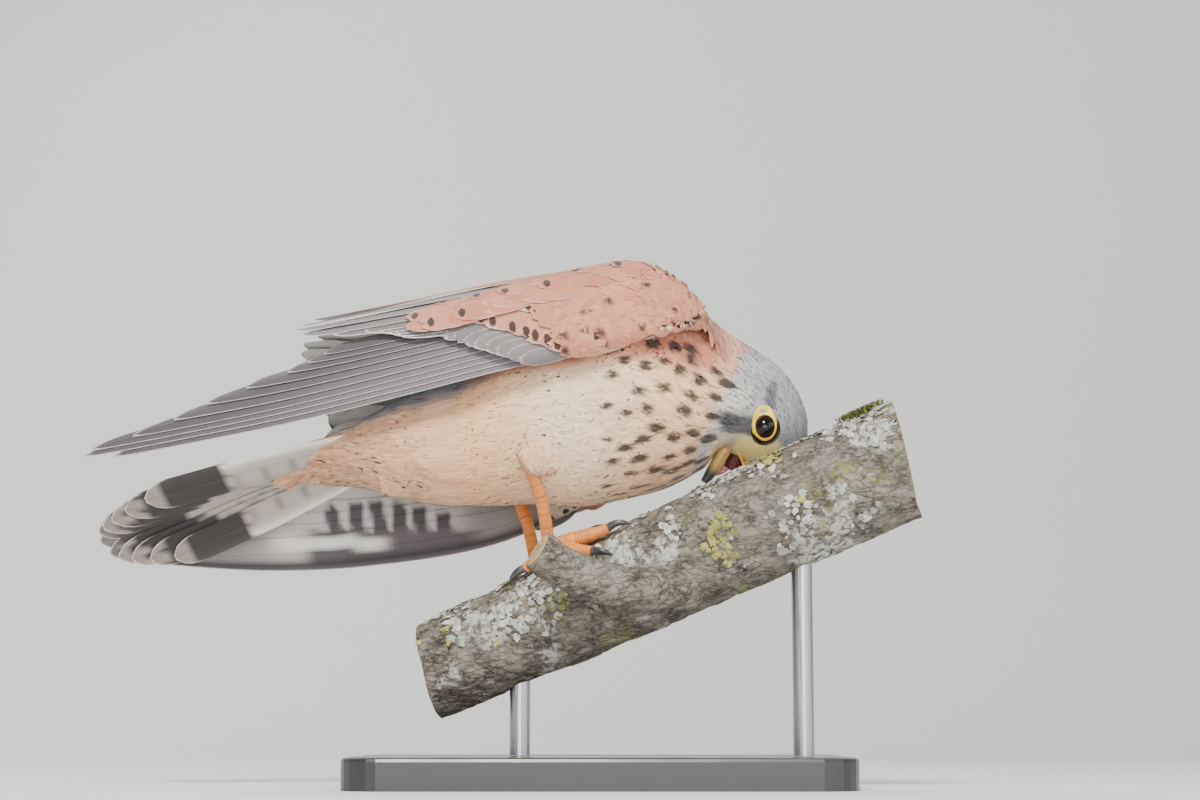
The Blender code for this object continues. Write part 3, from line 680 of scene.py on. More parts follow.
def wing_patch(x, t):
    """The roots' places on an unwrapped wing."""
    along = (x - WING_PATCH_START) / WING_PATCH_LENGTH
    return np.stack(np.broadcast_arrays(along, t / WING_PATCH_HEIGHT), -1)


def scatter(surface, low, high, spacing, tries, steps=(0.01, 0.01), keep=None):
    """Roots spread evenly over a patch of a surface, none nearer than the spacing there."""
    a = rng.uniform(low[0], high[0], tries)
    b = rng.uniform(low[1], high[1], tries)
    along, across = slopes(surface, a, b, *steps)
    area = np.linalg.norm(np.cross(along, across), axis=-1)
    chosen = rng.random(tries) < area / area.max()
    a, b = a[chosen], b[chosen]
    if keep is not None:
        chosen = keep(a, b)
        a, b = a[chosen], b[chosen]
    points = surface(a, b)
    gaps = np.broadcast_to(np.asarray(spacing(a, b, points), float), a.shape)
    cell = float(gaps.max())
    taken = {}
    kept = []
    around = [(i, j, k) for i in (-1, 0, 1) for j in (-1, 0, 1) for k in (-1, 0, 1)]
    for index, (point, gap) in enumerate(zip(points.tolist(), gaps.tolist())):
        x, y, z = (int(part // cell) for part in point)
        near = gap * gap
        if any((point[0] - q[0]) ** 2 + (point[1] - q[1]) ** 2 + (point[2] - q[2]) ** 2 < near
               for i, j, k in around for q in taken.get((x + i, y + j, z + k), ())):
            continue
        taken.setdefault((x, y, z), []).append(point)
        kept.append(index)
    return a[kept], b[kept]


def near_line(x, z, start, end, reach):
    """How near points of the side view are to a stretch: one on it, zero beyond the reach."""
    start, end = np.array(start, float), np.array(end, float)
    run = end - start
    share = np.clip(((x - start[0]) * run[0] + (z - start[1]) * run[1]) / (run @ run), 0, 1)
    away = np.hypot(x - start[0] - run[0] * share, z - start[1] - run[1] * share)
    return 1 - ease(reach * 0.6, reach * 1.15, away)


def plumage_tint(points, place, angle):
    """The colour of the plumage at points of the body."""
    x, z = points[..., 0], points[..., 2]
    height = np.cos(angle)
    side = np.abs(np.sin(angle))
    streak = 0.5 + 0.5 * np.sin(angle * 23 + 2.2 * np.sin(place * 1.7))
    under = blend_colours(BUFF_PALE, BUFF, ease(2.2, 5.5, place) * 0.7)
    # The last layer, a darker buff on the underside of the breast and neck, is painted shade.
    under = layered(BUFF, (under, ease(1.2, 2.6, place)), (NAPE, ease(5.5, 7.2, place) * 0.6),
                    (srgb(222, 176, 138), 0.5 * ease(-0.2, -0.9, height) * ease(3.2, 5.5, place)))
    back = blend_colours(CHESTNUT, CHESTNUT_PALE, 0.25 * streak)
    back = blend_colours(RUMP, back, ease(0.8, 2.0, place))
    line = 0.12 + 0.25 * ease(5.0, 7.2, place) + 0.5 * ease(3.0, 1.0, place)
    colour = blend_colours(under, back, ease(line - 0.1, line + 0.1, height))
    head = blend_colours(GREY_PALE, GREY, ease(7.6, 10.5, place) * 0.75 + 0.2 * streak - 0.1)
    throat = blend_colours(BUFF_PALE, BUFF, 0.35)
    lower = ease(-0.55, -0.8, height)
    lore = np.maximum(near_line(x, z, *LORE, 5.2), ease(14.0, 14.7, place))
    head = layered(
        head,
        (throat, lower * ease(7.0, 8.0, place)),
        (srgb(222, 218, 212), 0.85 * near_line(x, z, (42, 147), (53, 149), 6.0)),
        (MOUSTACHE, 0.9 * near_line(x, z, (59, 138), (50, 139.5), 4.6) * side),
        (MOUSTACHE, 0.6 * near_line(x, z, (50, 140.5), (40, 143.5), 2.6) * side),
        (MOUSTACHE, 0.75 * near_line(x, z, (66, 147), (67.5, 155), 2.2) * side),
        (srgb(228, 208, 178), 0.9 * near_line(x, z, (45, 133.5), (55, 133), 3.0) * side),
        (srgb(255, 236, 156), lore),
    )
    edge = 7.15 + 0.5 * height + 0.12 * np.sin(angle * 9)
    collar = ease(6.3, 6.7, place) * (1 - ease(7.2, 7.7, place)) * ease(-0.35, 0.2, height)
    return layered(colour, (head, ease(edge - 0.3, edge + 0.35, place)), (NAPE, 0.6 * collar))


def clear_of_eyes(a, b):
    """Which roots are outside both orbital rings."""
    points = body_point(a, b)
    reach = EYE_RING[1] + np.where(points[:, 2] > EYE.z, 1.6, 0.2)
    flat = np.hypot((points[:, 0] - EYE.x) / (EYE_RING[0] + 0.3), (points[:, 2] - EYE.z) / reach)
    away = np.abs(points[:, 1] - EYE.y)
    return ~((flat < 1) & (away > 9))


def body_skin():
    """The skin under the plumage of the body and the neck and head."""
    place, angle = ring_grid(np.linspace(0, 15, 150), 96)
    depth = COAT_DEPTH + (FACE_COAT_DEPTH - COAT_DEPTH) * ease(7.5, 10, place)
    rings = body_point(place, angle, depth)
    tint = plumage_tint(rings, place, angle) * 0.92
    return smooth_solid("body_skin", rings, SKIN, ("head", "neck", "torso"), tint)


def skin_material():
    g = Graph("plumage_skin", Roughness=0.85, Specular_IOR_Level=0.2)
    down = g.noise(700, 5)
    colour = g.mix(g.times(down, 0.22), g.colours("tint"), SOOT)
    return g.finish(colour, height=down, depth=0.0003)


SKIN = skin_material()


def unwrap(a, b):
    """The roots' places on the unwrapped skin."""
    return np.stack([a / BODY_PATCH[0], b / BODY_PATCH[1]], -1)


def drops(surface, a, b, long, wide, steps=(0.01, 0.01)):
    """Dark drops on a surface: centre, lie, cross way, half length and half width."""
    along, across = slopes(surface, a, b, *steps)
    lie = -unit(along)
    cross = unit(across - lie * (across * lie).sum(-1, keepdims=True))
    return surface(a, b), lie, cross, long, wide


def body_spots():
    """The drops of the breast, the flanks and the back."""
    a, b = scatter(body_point, (2.4, 0), (7.7, 2 * math.pi), lambda a, b, points: 2.0, 40000)
    points = body_point(a, b)
    height = np.cos(b)
    breast = (a > 3.5) & (a < 7.6) & (height < 0.32)
    back = (a > 2.4) & (a < 6.4) & (height > 0.35)
    spots = []
    for group, gap in ((breast, 6.5), (back, 10.5)):
        chosen = thin(points, np.flatnonzero(group), gap)
        size = rng.uniform(0.8, 1.12, len(chosen))
        slim = np.maximum(ease(6.0, 7.4, a[chosen]), ease(-0.35, -0.95, height[chosen])) * (gap < 8)
        rear = 1 - 0.35 * ease(4.4, 3.5, a[chosen]) * (gap < 8)
        long = 3.1 * size * rear * (1 + 0.3 * slim)
        wide = 2.25 * size * rear * (1 - 0.3 * slim)
        spots.append(drops(body_point, a[chosen], b[chosen], long, wide))
    return [np.concatenate(part) for part in zip(*spots)]


def spot_strength(points, spots):
    """How dark each point is from the nearest drop: rounder at the tip end, fading at the root end."""
    flat = points.reshape(-1, 3)
    centre, lie, cross, long, wide = spots
    dark = np.zeros(len(flat))
    for index in range(len(centre)):
        away = flat - centre[index]
        near = np.flatnonzero((away ** 2).sum(-1) < (long[index] * 2.2) ** 2)
        along = away[near] @ lie[index] / long[index]
        over = away[near] @ cross[index] / (wide[index] * (1 + 0.22 * np.clip(along, -1.5, 1)))
        reach = np.hypot(along, over)
        dark[near] = np.maximum(dark[near], ease(1.15, 0.9, reach))
    return dark.reshape(points.shape[:-1])


def body_coat():
    """The feathers of the head, neck, breast, belly, rump and back."""
    def spread(a, b, points):
        return 2.1 - 0.85 * ease(6.6, 8.6, a) - 0.15 * ease(11.5, 13.5, a)

    spots = body_spots()

    def paint(a, b, points):
        jitter = rng.normal(0, 0.22, (len(points), 1, 3))
        tint = plumage_tint(points + jitter * 1.2, a + jitter[..., 0] * 0.12, b)
        belly = ease(0.1, -0.5, np.cos(b)) * ease(2.6, 3.6, a) * ease(7.4, 6.4, a)
        tint = blend_colours(tint, tint * 0.8, belly * (rng.random((len(points), 1)) < 0.25) * 0.6)
        return blend_colours(tint, SOOT, spot_strength(points + jitter, spots) * 0.93)

    a, b = scatter(body_point, (0.1, 0), (14.85, 2 * math.pi), spread, 200000, keep=clear_of_eyes)
    points = body_point(a, b)
    head = ease(6.6, 8.6, a)
    face = ease(11.5, 13.8, a)
    length = 13.0 - 2.5 * ease(4.0, 6.5, a) - 4.6 * head - 2.6 * face
    width = 4.6 - 0.4 * ease(4.0, 6.5, a) - 2.3 * head - 0.3 * face
    near_eye = np.hypot(points[:, 0] - EYE.x, points[:, 2] - EYE.z)
    shorter = 1 - 0.45 * (1 - ease(8, 15, near_eye)) * (np.abs(points[:, 1] - EYE.y) > 9)
    length, width = length * shorter, width * shorter
    bare = near_line(points[:, 0], points[:, 2], *LORE, 6.0) > 0.1
    fine = (a > 7.2) & (np.cos(b) > -0.5) & ~bare
    mark = marks(fine & (rng.random(len(a)) < 0.3), len(a), length * 0.65, length * 0.4, 0.14)
    lean = sway(len(a), 0.42)
    order = np.argsort(-a)
    for name, low, high in (("coat_rump_belly", 0, 3.2), ("coat_body", 3.2, 5.6),
                            ("coat_breast_neck", 5.6, 8.0), ("coat_head", 8.0, 15)):
        part = order[(a[order] >= low) & (a[order] < high)]
        piece = Piece(name)
        feathers(piece, body_point, a[part], b[part], length[part], width[part], lean=lean[part],
                 lift=0.55 - 0.25 * head[part], sink=0.55, height=-0.15 - 0.5 * head[part],
                 tint=paint, mark=mark[part], unwrap=unwrap(a[part], b[part]), **SOFT)
        piece.build(FEATHERS)


def thin(points, candidates, gap):
    """Candidates that keep a gap between them."""
    kept = []
    for index in candidates:
        if all(np.sum((points[kept] - points[index]) ** 2, -1) > gap * gap) if kept else True:
            kept.append(index)
    return np.array(kept, int)


def floor_and_light():
    """A pale studio floor that rises behind, and four soft lights."""
    g = Graph("studio_floor", Roughness=0.9)
    g.finish(g.mix(g.times(g.noise(6, 2), 0.08), srgb(232, 232, 230), srgb(214, 214, 212)))
    rows = [(-3.0, 0.0), (0.9, 0.0)]
    rows += [(0.9 + 0.6 * math.sin(turn), 0.6 - 0.6 * math.cos(turn)) for turn in np.linspace(0.1, 1.5, 12)]
    rows += [(1.5, 0.8), (1.5, 2.6)]
    points = [(x, y, z) for y, z in rows for x in (-4.0, 4.0)]
    mesh = bpy.data.meshes.new("studio_floor")
    mesh.from_pydata(points, [], [(i, i + 1, i + 3, i + 2) for i in range(0, len(points) - 2, 2)])
    mesh.materials.append(g.material)
    mesh.shade_smooth()
    floor = bpy.data.objects.new("studio_floor", mesh)
    bpy.context.scene.collection.objects.link(floor)
    for name, place, size, power in (
            ("key", (-0.15, -1.1, 1.25), 0.4, 34), ("fill", (1.3, -0.9, 0.5), 1.2, 10),
            ("rim", (-0.9, 0.8, 1.2), 0.8, 12), ("low", (0.05, -1.25, 0.05), 0.9, 13)):
        light = bpy.data.lights.new(name, "AREA")
        light.energy = power
        light.size = size
        light.color = (1.0, 0.955, 0.9) if name == "key" else (1.0, 0.985, 0.965)
        item = bpy.data.objects.new(name, light)
        item.location = place
        aim = Vector((0, 0, 0.14)) - Vector(place)
        item.rotation_euler = aim.to_track_quat("-Z", "Y").to_euler()
        bpy.context.scene.collection.objects.link(item)
    world = bpy.data.worlds.new("studio")
    bpy.context.scene.world = world
    world.use_nodes = True
    world.node_tree.nodes["Background"].inputs[0].default_value = (0.9, 0.94, 1.0, 1)
    world.node_tree.nodes["Background"].inputs[1].default_value = 0.45


def camera():
    """A long lens just above the floor, looking slightly up at the bird."""
    lens = bpy.data.cameras.new("camera")
    lens.sensor_width = SENSOR_WIDTH
    lens.lens = FOCAL_LENGTH
    lens.clip_start = 0.01
    item = bpy.data.objects.new("camera", lens)
    x, y, z = CAMERA_AIM
    away, down = CAMERA_DISTANCE * math.cos(CAMERA_RISE), CAMERA_DISTANCE * math.sin(CAMERA_RISE)
    item.location = (x, y - away, z - down)
    item.rotation_euler = (math.radians(90) + CAMERA_RISE, 0, 0)
    bpy.context.scene.collection.objects.link(item)
    bpy.context.scene.camera = item


# The wings: how the primaries' tips are stretched and cut, the feathers' width, where their
# roots reach, the upper edge of the coverts, and the lines of the scapulars, the greater coverts
# and the shoulder.
FOLDED = {
    "label": "right", "table": WING_RIGHT, "side": -1, "stretch": 1.0, "reach": -201, "width": 6.8,
    "primary_root": 20, "secondary_root": (8, 30), "top": 33, "rows": 34,
    "secondary_tips": ((0, -78, 20), (1, -81, 21.5), (2, -85, 23.5), (3, -91, 25.5), (4, -104, 28),
                       (5, -117, 32.5), (6, -121, 38), (7, -121, 44), (8, -114, 50)),
    "scapulars": (24, 60), "greater_line": ((-14, 0), (-82, 37)), "crest": 48, "wrist": 11, "wrap": 0.85,
}
DROOPED = {
    "label": "left", "table": WING_LEFT, "side": 1, "stretch": 2.2, "reach": -181, "width": 12.5,
    "primary_root": 32, "secondary_root": (22, 54), "top": 60, "rows": 96,
    "secondary_tips": ((0, -111, 50), (3, -118, 67), (6, -118, 84), (8, -104, 96)),
    "scapulars": (56, 104), "greater_line": ((-14, 2), (-78, 74)), "crest": 74, "wrist": 8, "wrap": 1.3,
}


def under_wing(points):
    """The colours of a wing seen from below: bars like tongues, a white wedge of painted sunlight, painted
    shade towards the tip, and a dark edge.
    """
    x = points[..., 0]
    z = points[..., 2] - 0.14 * (points[..., 1] + 20) + 3.0
    tongue = np.zeros(x.shape)
    for centre in (-108, -98.5, -90, -81.5, -73, -64):
        away = np.abs(x - centre + 0.12 * (z - 103))
        top = 110 - 0.22 * away ** 2 - 0.006 * (centre + 90) ** 2
        tongue = np.maximum(tongue, ease(3.4, 2.5, away) * ease(0.4, -0.6, z - top))
    band = ease(98.5, 97.3, z) * ease(-122, -114, x) * ease(-44, -56, x)
    # The white wedge is a painted patch of sunlight on the underside.
    painted_sun_patch = ease(95.8, 94.6, z) * ease(-136, -126, x) * ease(-82, -92, x) * ease(89.6, 90.6, z)
    # Greyer towards the tip: painted shade on the underside of the primaries.
    return layered(srgb(204, 200, 196), (srgb(146, 141, 140), ease(-118, -150, x)),
                   (srgb(150, 145, 146), ease(-66, -48, x)), (srgb(84, 80, 86), tongue),
                   (srgb(98, 92, 96), band), (srgb(240, 238, 234), painted_sun_patch))


def flight_row(piece, form, roots, tips, layer, blade):
    """One row of flight feathers, the outermost first, each over the next one below.

    Gives back how deep the row is.
    """
    table, side, width = form["table"], form["side"], form["width"]
    count = len(tips)
    share = np.linspace(0, 1, count)[:, None]
    root_x, root_t = roots[0][0], roots[0][1] + (roots[1][1] - roots[0][1]) * share
    tip_x, tip_t = np.array(tips).T[:, :, None]
    tilt = (SHEET_THICKNESS + 0.08) / ((roots[1][1] - roots[0][1]) / (count - 1))
    u, v, under, faces = vane_grid(blade["rows"], blade["columns"])
    faces = faces[:, ::-1] if side > 0 else faces
    taper_from = blade["taper_from"] + blade.get("inner_taper", 0.0) * share
    fade = np.clip((u - taper_from) / (1 - taper_from), 0, 1)
    shape = np.sqrt(np.maximum(0.02, 1 - fade ** blade["point"])) * (0.6 + 0.4 * np.minimum(1, u * 3))
    wide = (width + blade["spare"]) * shape
    wide = wide * (1 + 0.02 * np.sin(u * 60 + share * 30) * (u > taper_from))
    x = root_x + (tip_x - root_x) * u
    low = root_t + (tip_t - root_t) * u + (width - width * shape) * blade["centred"]
    across = wide * (v + 1) / 2
    crown = 0.22 * (1 - v ** 2)
    n = layer + tilt * (width - across) + SHEET_THICKNESS * 0.75 + crown - under * 0.3
    points = wing_point(table, side, x, low + across, n)
    upper = blend_colours(blade["upper"], blade["upper_far"], ease(0.25, 0.9, u))
    upper = upper + np.zeros((count, 1, 1))
    if blade.get("inner_tint") is not None:
        upper = blend_colours(upper, blade["inner_tint"], np.broadcast_to(ease(0.9, 0.97, share), x.shape))
    outer_web = ease(-0.2, -0.55, v) * ease(0.22, 0.0, share)
    lower = blend_colours(under_wing(points), srgb(58, 54, 57), outer_web * 0.95)
    shown = np.maximum(under, (v > 0.99) * (side > 0)) * np.ones(x.shape)
    tint = blend_colours(upper, lower, shown)
    length = np.abs(tip_x - root_x)
    vane = np.stack(np.broadcast_arrays(u * length, v * wide / 2, rng.random((count, 1))), -1)
    rim = np.minimum((1 - np.abs(v)) * wide / 2, (1 - u) * length)
    edge = np.stack(np.broadcast_arrays(rim, blade["fringe"], blade["fringe_strength"] * (1 - shown)), -1)
    uvs = wing_patch(root_x, root_t[:, 0])[:, None] + TUFT_PATCH * np.stack([v / 2, u - 0.5], -1)
    piece.add(points, faces, uvs, tint, vane, np.zeros(3), edge)
    return tilt * width + SHEET_THICKNESS


def rounded_front(form, x, least):
    """The wing's front: how far x is into it, the share of the depth left there, and the middle."""
    front = np.clip((x - FRONT_START) / FRONT_LENGTH, 0, 1)
    return front, np.sqrt(np.maximum(least, 1 - front ** 2)), form["top"] * (0.46 - 0.22 * front)


def cover_surface(form, inset=0.0):
    """The surface that the coverts and scapulars of a wing lie on, as a function of x and t."""
    table, side, top = form["table"], form["side"], form["top"]

    def surface(x, t):
        front, size, middle = rounded_front(form, x, 0.03)
        away = np.clip(np.abs(t - middle) / (top * 0.56 * size * (1 - 0.25 * front)), 0, 1)
        low = np.where(t < middle, np.sqrt(1 - np.minimum(away ** 5, 0.999)),
                       1 - 0.95 * ease(top - 8, top + 14, t))
        n = (5.6 + 3.1 * ease(-70, 6, x)) * low * (0.3 + 0.7 * size)
        points = wing_point(table, side, x, t, n - inset)
        over = points[..., 2] - (read(BACK_LINE, x)[0] - 1.2 - inset)
        points[..., 2] -= 1.5 * np.logaddexp(0, over / 1.5)
        return points

    return surface


def arm_surface(form):
    """The muscled arm under the coverts, as a function of x and the angle round it."""
    (x_low, t_low), (x_high, t_high) = form["greater_line"]
    top = form["top"]
    cover = cover_surface(form, 1.1)

    def surface(x, angle):
        x, angle = np.broadcast_arrays(x, angle)
        front, size, middle = rounded_front(form, x, 0.02)
        reach = top * 0.46 * size * (1 - 0.25 * front)
        low = np.maximum(middle - reach, (x_low - 8 - x) / (x_low - x_high) * (t_high - t_low) + 5)
        high = np.maximum(middle + reach, low + 1)
        t = (low + high) / 2 + (high - low) / 2 * np.cos(angle)
        rise = np.sin(angle)
        inner = wing_point(form["table"], form["side"], x, t, -0.3)
        depth = (1.0 + 6.0 * ease(0, 22, x) * ease(38, 26, x)) * np.sqrt(np.clip(-rise, 0, 1))
        deep = wing_point(form["table"], form["side"], x, t, -0.3 - depth)
        share = np.clip(rise, 0, 1)[..., None] ** 0.3 * (1 - 0.7 * ease(22, 34, x))[..., None]
        return np.where(rise[..., None] > 0, inner + (cover(x, t) - inner) * share, deep)

    return surface


def arm(form):
    """The skin of the arm, and the pale coverts of its inner side."""
    surface, label, side = arm_surface(form), form["label"], form["side"]
    x, angle = ring_grid(np.linspace(-62, 34, 48), 64)
    rings = surface(x, angle)
    inside = ease(0.1, -0.1, np.sin(angle)) * ease(30, 22, x)
    smooth_solid(f"wing_{label}_skin", rings, SKIN, (),
                 blend_colours(CHESTNUT * 0.9, LINING * 0.85, inside))
    a, b = scatter(surface, (-50, math.pi - 0.7), (33.7, 2 * math.pi + 0.3), lambda a, b, points: 2.7, 18000,
                   (0.5, 0.02))
    length = 11 - 5 * ease(10, 38, a)
    tint = blend_colours(LINING, BUFF, rng.uniform(0, 0.6, len(a)))
    tint = blend_colours(tint, chestnut(len(a), 0.2, 0.6), ease(22, 32, a))
    mark = marks((rng.random(len(a)) < 0.25) & (a < 30), len(a), length * 0.75, 1.6, 0.9)
    piece = Piece(f"wing_{label}_lining")
    feathers(piece, surface, a, b, length, length * 0.42, lift=0.5, sink=0.5, crown=0.1, thick=0.12,
             columns=4, tint=tint, mark=mark, lean=sway(len(a), 0.3), steps=(0.5, 0.02), outward=-side,
             unwrap=np.stack([(a - WING_PATCH_START) / WING_PATCH_LENGTH, b / 7], -1), tip=0.5, blunt=0.25)
    piece.build(FEATHERS)


def shoulder(form):
    """The feathers that run from the nape over the front of a shoulder."""
    cover, side = cover_surface(form), form["side"]
    low, high = form["wrist"], form["crest"]

    def surface(s, t):
        s, t = np.broadcast_arrays(s, t)
        share = np.clip((t - low) / (high - low), 0, 1)
        tucked = ease(low, low - 5, t)[..., None]
        angle = side * (form["wrap"] * (1 - share) ** 0.8 + 0.06 * np.clip(low - t, 0, 6))
        under = body_point(6.4 + 0 * t, side * (form["wrap"] + 0.2), 1.0)
        start = cover(31 + 0 * t, np.maximum(t, low)) * (1 - tucked) + under * tucked
        ahead = cover(33 + 0 * t, np.maximum(t, low)) - cover(31 + 0 * t, np.maximum(t, low))
        end = body_point(7.4 + 0 * t, angle, 0.3)
        arrive = body_point(7.6 + 0 * t, angle, 0.3) - end
        reach = np.linalg.norm(end - start, axis=-1, keepdims=True) * 0.9
        ahead, arrive = unit(ahead) * reach, unit(arrive) * reach
        return cubic(start, ahead, end, arrive, s[..., None])

    s, t = scatter(surface, (0.1, low - 4), (0.97, high), lambda s, t, points: 1.7, 16000, (0.02, 0.5),
                   lambda s, t: (s - 0.12) * 8 > low - t)
    tucked = ease(low + 1, low - 3, t)

    def paint(s, t, points):
        base = chestnut((len(points), 1), 0.2, 0.55)
        return blend_colours(base, srgb(226, 178, 146), 0.7 * ease(0.55, 1.0, s))

    piece = Piece(f"shoulder_{form['label']}_coat")
    length = (8.5 - 2 * s) * (1 - 0.45 * tucked)
    feathers(piece, surface, s, t, length, 3.6 - 1.0 * s, lift=0.5 - 0.4 * tucked, sink=0.6, tint=paint,
             lean=sway(len(s), 0.35), steps=(0.02, 0.5), outward=side,
             unwrap=np.stack([0.8 + s / 20, t / WING_PATCH_HEIGHT], -1), **(SOFT | {"fray": 0.1}))
    piece.build(FEATHERS)


def wing_coat(form):
    """The flight feathers, coverts and scapulars of one wing."""
    label, side, top = form["label"], form["side"], form["top"]
    quills = Piece(f"wing_{label}_quills")
    blade = {"rows": form["rows"], "columns": 7, "taper_from": 0.45, "inner_taper": 0.4, "point": 2.0,
             "centred": 0.15, "spare": 2.4, "upper": srgb(116, 109, 113), "upper_far": srgb(82, 76, 80),
             "fringe": 0.45, "fringe_strength": 0.4}
    tips = [(max(x, form["reach"]), t * form["stretch"]) for x, t in PRIMARY_TIPS]
    depth = flight_row(quills, form, ((4.7, 0.0), (4.7, form["primary_root"])), tips, 0.0, blade)
    quills.build(FLIGHT_FEATHERS, (f"wing_{label}_primaries",))

    rounded = {"rows": form["rows"], "columns": 7, "taper_from": 0.84, "point": 2.4, "centred": 0.5,
               "spare": 3.2, "upper": srgb(142, 135, 136), "upper_far": srgb(118, 111, 114),
               "fringe": 0.55, "fringe_strength": 0.75, "inner_tint": CHESTNUT}
    secondaries = Piece(f"wing_{label}_secondaries_coat")
    roots = tuple((4.7, t) for t in form["secondary_root"])
    tip_x, tip_t = read(form["secondary_tips"], np.arange(9))
    flight_row(secondaries, form, roots, list(zip(tip_x, tip_t)), depth + 0.4, rounded)
    secondaries.build(FLIGHT_FEATHERS, (f"wing_{label}_secondaries",))

    surface = cover_surface(form)
    coverts = Piece(f"wing_{label}_coverts_coat")
    (x_low, t_low), (x_high, t_high) = form["greater_line"]

    def lay(x, t, length, wide, **given):
        feathers(coverts, surface, x, t, length, wide, unwrap=wing_patch(x, t), steps=(0.5, 0.5),
                 outward=side, **given)

    rows = (("primary", 9, 1.0, 30, 8.5, -0.6, 0), ("greater", 17, 1.0, 38, 10.0, 0.0, 0.6),
            ("median", 17, 0.66, 27, 9.0, 0.35, 0.75), ("upper", 16, 0.4, 21, 8.0, 0.65, 0.6))
    for name, count, reach, long, wide, height, spotted in rows:
        share = np.linspace(0, 1, count) + rng.uniform(-0.01, 0.01, count)
        share = share * 0.5 if name == "primary" else share
        tip_x = 6 + (x_low - 6 + (x_high - x_low) * share) * reach - 16 * (name == "primary")
        t = t_low + (t_high - t_low) * share
        length = long * (0.62 + 0.38 * share) + 4
        wide = wide * top / 46 + 2
        tint = chestnut(count, 0.35, 0.65)
        if name == "primary":
            tint = tinted(tint.shape, srgb(126, 118, 120))
        mark = marks(rng.random(count) < spotted, count, length - 2.9, 1.4, 2.7)
        lay(tip_x + length * 0.97, t, length, wide, lean=0.06, lift=0.55, sink=0.3, crown=0.15,
            height=height - 0.9, rows=9, columns=6, tint=tint, mark=mark,
            edge=(0.5, 0.35 if name == "primary" else 0.3), tip=0.3)

    a, b = scatter(surface, (-24, 0), (36, top), lambda x, t, points: 5.0 - 1.6 * ease(-5, 35, x), 9000,
                   (0.5, 0.5))
    size = 1 - 0.4 * ease(5, 32, a)
    spots = drops(surface, a, b, 1.5 * size, 1.7 * size, (0.5, 0.5))
    chosen = rng.random(len(a)) < 0.42
    spots = [part[chosen] for part in spots]

    def paint(x, t, points):
        jitter = rng.normal(0, 0.2, (len(points), 1, 3))
        above = points[..., 2] - read(BACK_LINE, x)[0]
        return layered(
            chestnut((len(points), 1), 0.2, 0.55),
            (srgb(186, 118, 94), 0.6 * ease(-4.0, 1.0, above)),
            (srgb(228, 206, 180), 0.7 * ease(4.0, 1.0, t) * ease(14, 0, x) * (side > 0)),
            (SOOT, spot_strength(points + jitter, spots) * 0.92),
        )

    def behind(x, t):
        share = (t - t_low) / (t_high - t_low)
        return x > 8 + (x_low - 6 + (x_high - x_low) * share) * 0.42

    x, t = scatter(surface, (-34, 0), (42, top), lambda x, t, points: 2.5 - 0.7 * ease(15, 38, x), 30000,
                   (0.5, 0.5), behind)
    length = 14 - 7 * ease(5, 38, x)
    wide = 6.6 - 3.2 * ease(5, 38, x)
    lay(x, t, length, wide, lift=0.5, sink=0.45, crown=0.1, thick=0.12, tint=paint, columns=4,
        lean=sway(len(x), 0.3), blunt=0.25)

    low, high = form["scapulars"]
    x, t = scatter(surface, (-50, low), (38, high), lambda x, t, points: 4.0 - 1.4 * ease(5, 34, x), 16000,
                   (0.5, 0.5))
    length = 26 - 15 * ease(-15, 34, x)
    wide = 11 - 6 * ease(-15, 34, x)
    chosen = thin(surface(x, t), np.flatnonzero(x < 24), 10.5)
    mark = marks(chosen, len(x), length - 3.0, 1.4, 2.5)
    height = 0.5 - 0.4 * ease(low + 6, high, t)
    height[chosen] += 0.3
    tint = blend_colours(chestnut(len(x), 0.05, 0.5), srgb(190, 120, 96), 0.5 * ease(low + 4, high - 8, t))
    lay(x, t, length, wide, lift=0.6, sink=0.5 + 3.5 * ease(20, 36, x), crown=0.2, height=height, rows=7,
        columns=5, lean=sway(len(x), 0.14) - 0.1, tint=tint, mark=mark, tip=0.35, edge=(0.5, 0.2))

    run = np.linspace(0, 1, 60)
    rim_x, rim_t = read(((0, 24, 1.6), (1, 30, 0.8), (2, 36, 1.6), (3, 40.5, 4.5), (4, 41.8, 7.0)), run * 4)
    rim_t = rim_t + rng.normal(0, 0.3, 60)
    kept = thin(surface(rim_x, rim_t), np.flatnonzero(rim_x < (38 if side > 0 else 41.6)), 0.75)
    rim_x, rim_t = rim_x[kept], rim_t[kept]
    pick = rng.random((len(kept), 1))
    tint = np.where(pick < 0.5, SOOT, np.where(pick < 0.85, WHITE, CHESTNUT_PALE))
    lay(rim_x, rim_t, rng.uniform(1.8, 3.0, len(kept)), 1.2, lift=0.4, sink=0.2, crown=0.08, height=0.2,
        tint=tint, columns=4, lean=rng.uniform(0.1, 0.6, len(kept)), blunt=0.15)
    coverts.build(FEATHERS, (f"wing_{label}_coverts",))
    arm(form)
    shoulder(form)


def tail_points(along, across, under):
    """Points of the twisted tail: along it, across to the bird's left, and below its sheet."""
    along, across, under = np.broadcast_arrays(np.asarray(along, float), across, under)
    axis = np.array([-math.cos(TAIL_DROP), 0, -math.sin(TAIL_DROP)])
    up = np.array([-math.sin(TAIL_DROP), 0, math.cos(TAIL_DROP)])
    level = np.array([0, 1, 0])
    width_way = level * math.cos(TAIL_TWIST) - up * math.sin(TAIL_TWIST)
    under_way = -up * math.cos(TAIL_TWIST) - level * math.sin(TAIL_TWIST)
    spread = [part[..., None] for part in (along, across, under)]
    return np.array(TAIL_ROOT) + axis * spread[0] + width_way * spread[1] + under_way * spread[2]


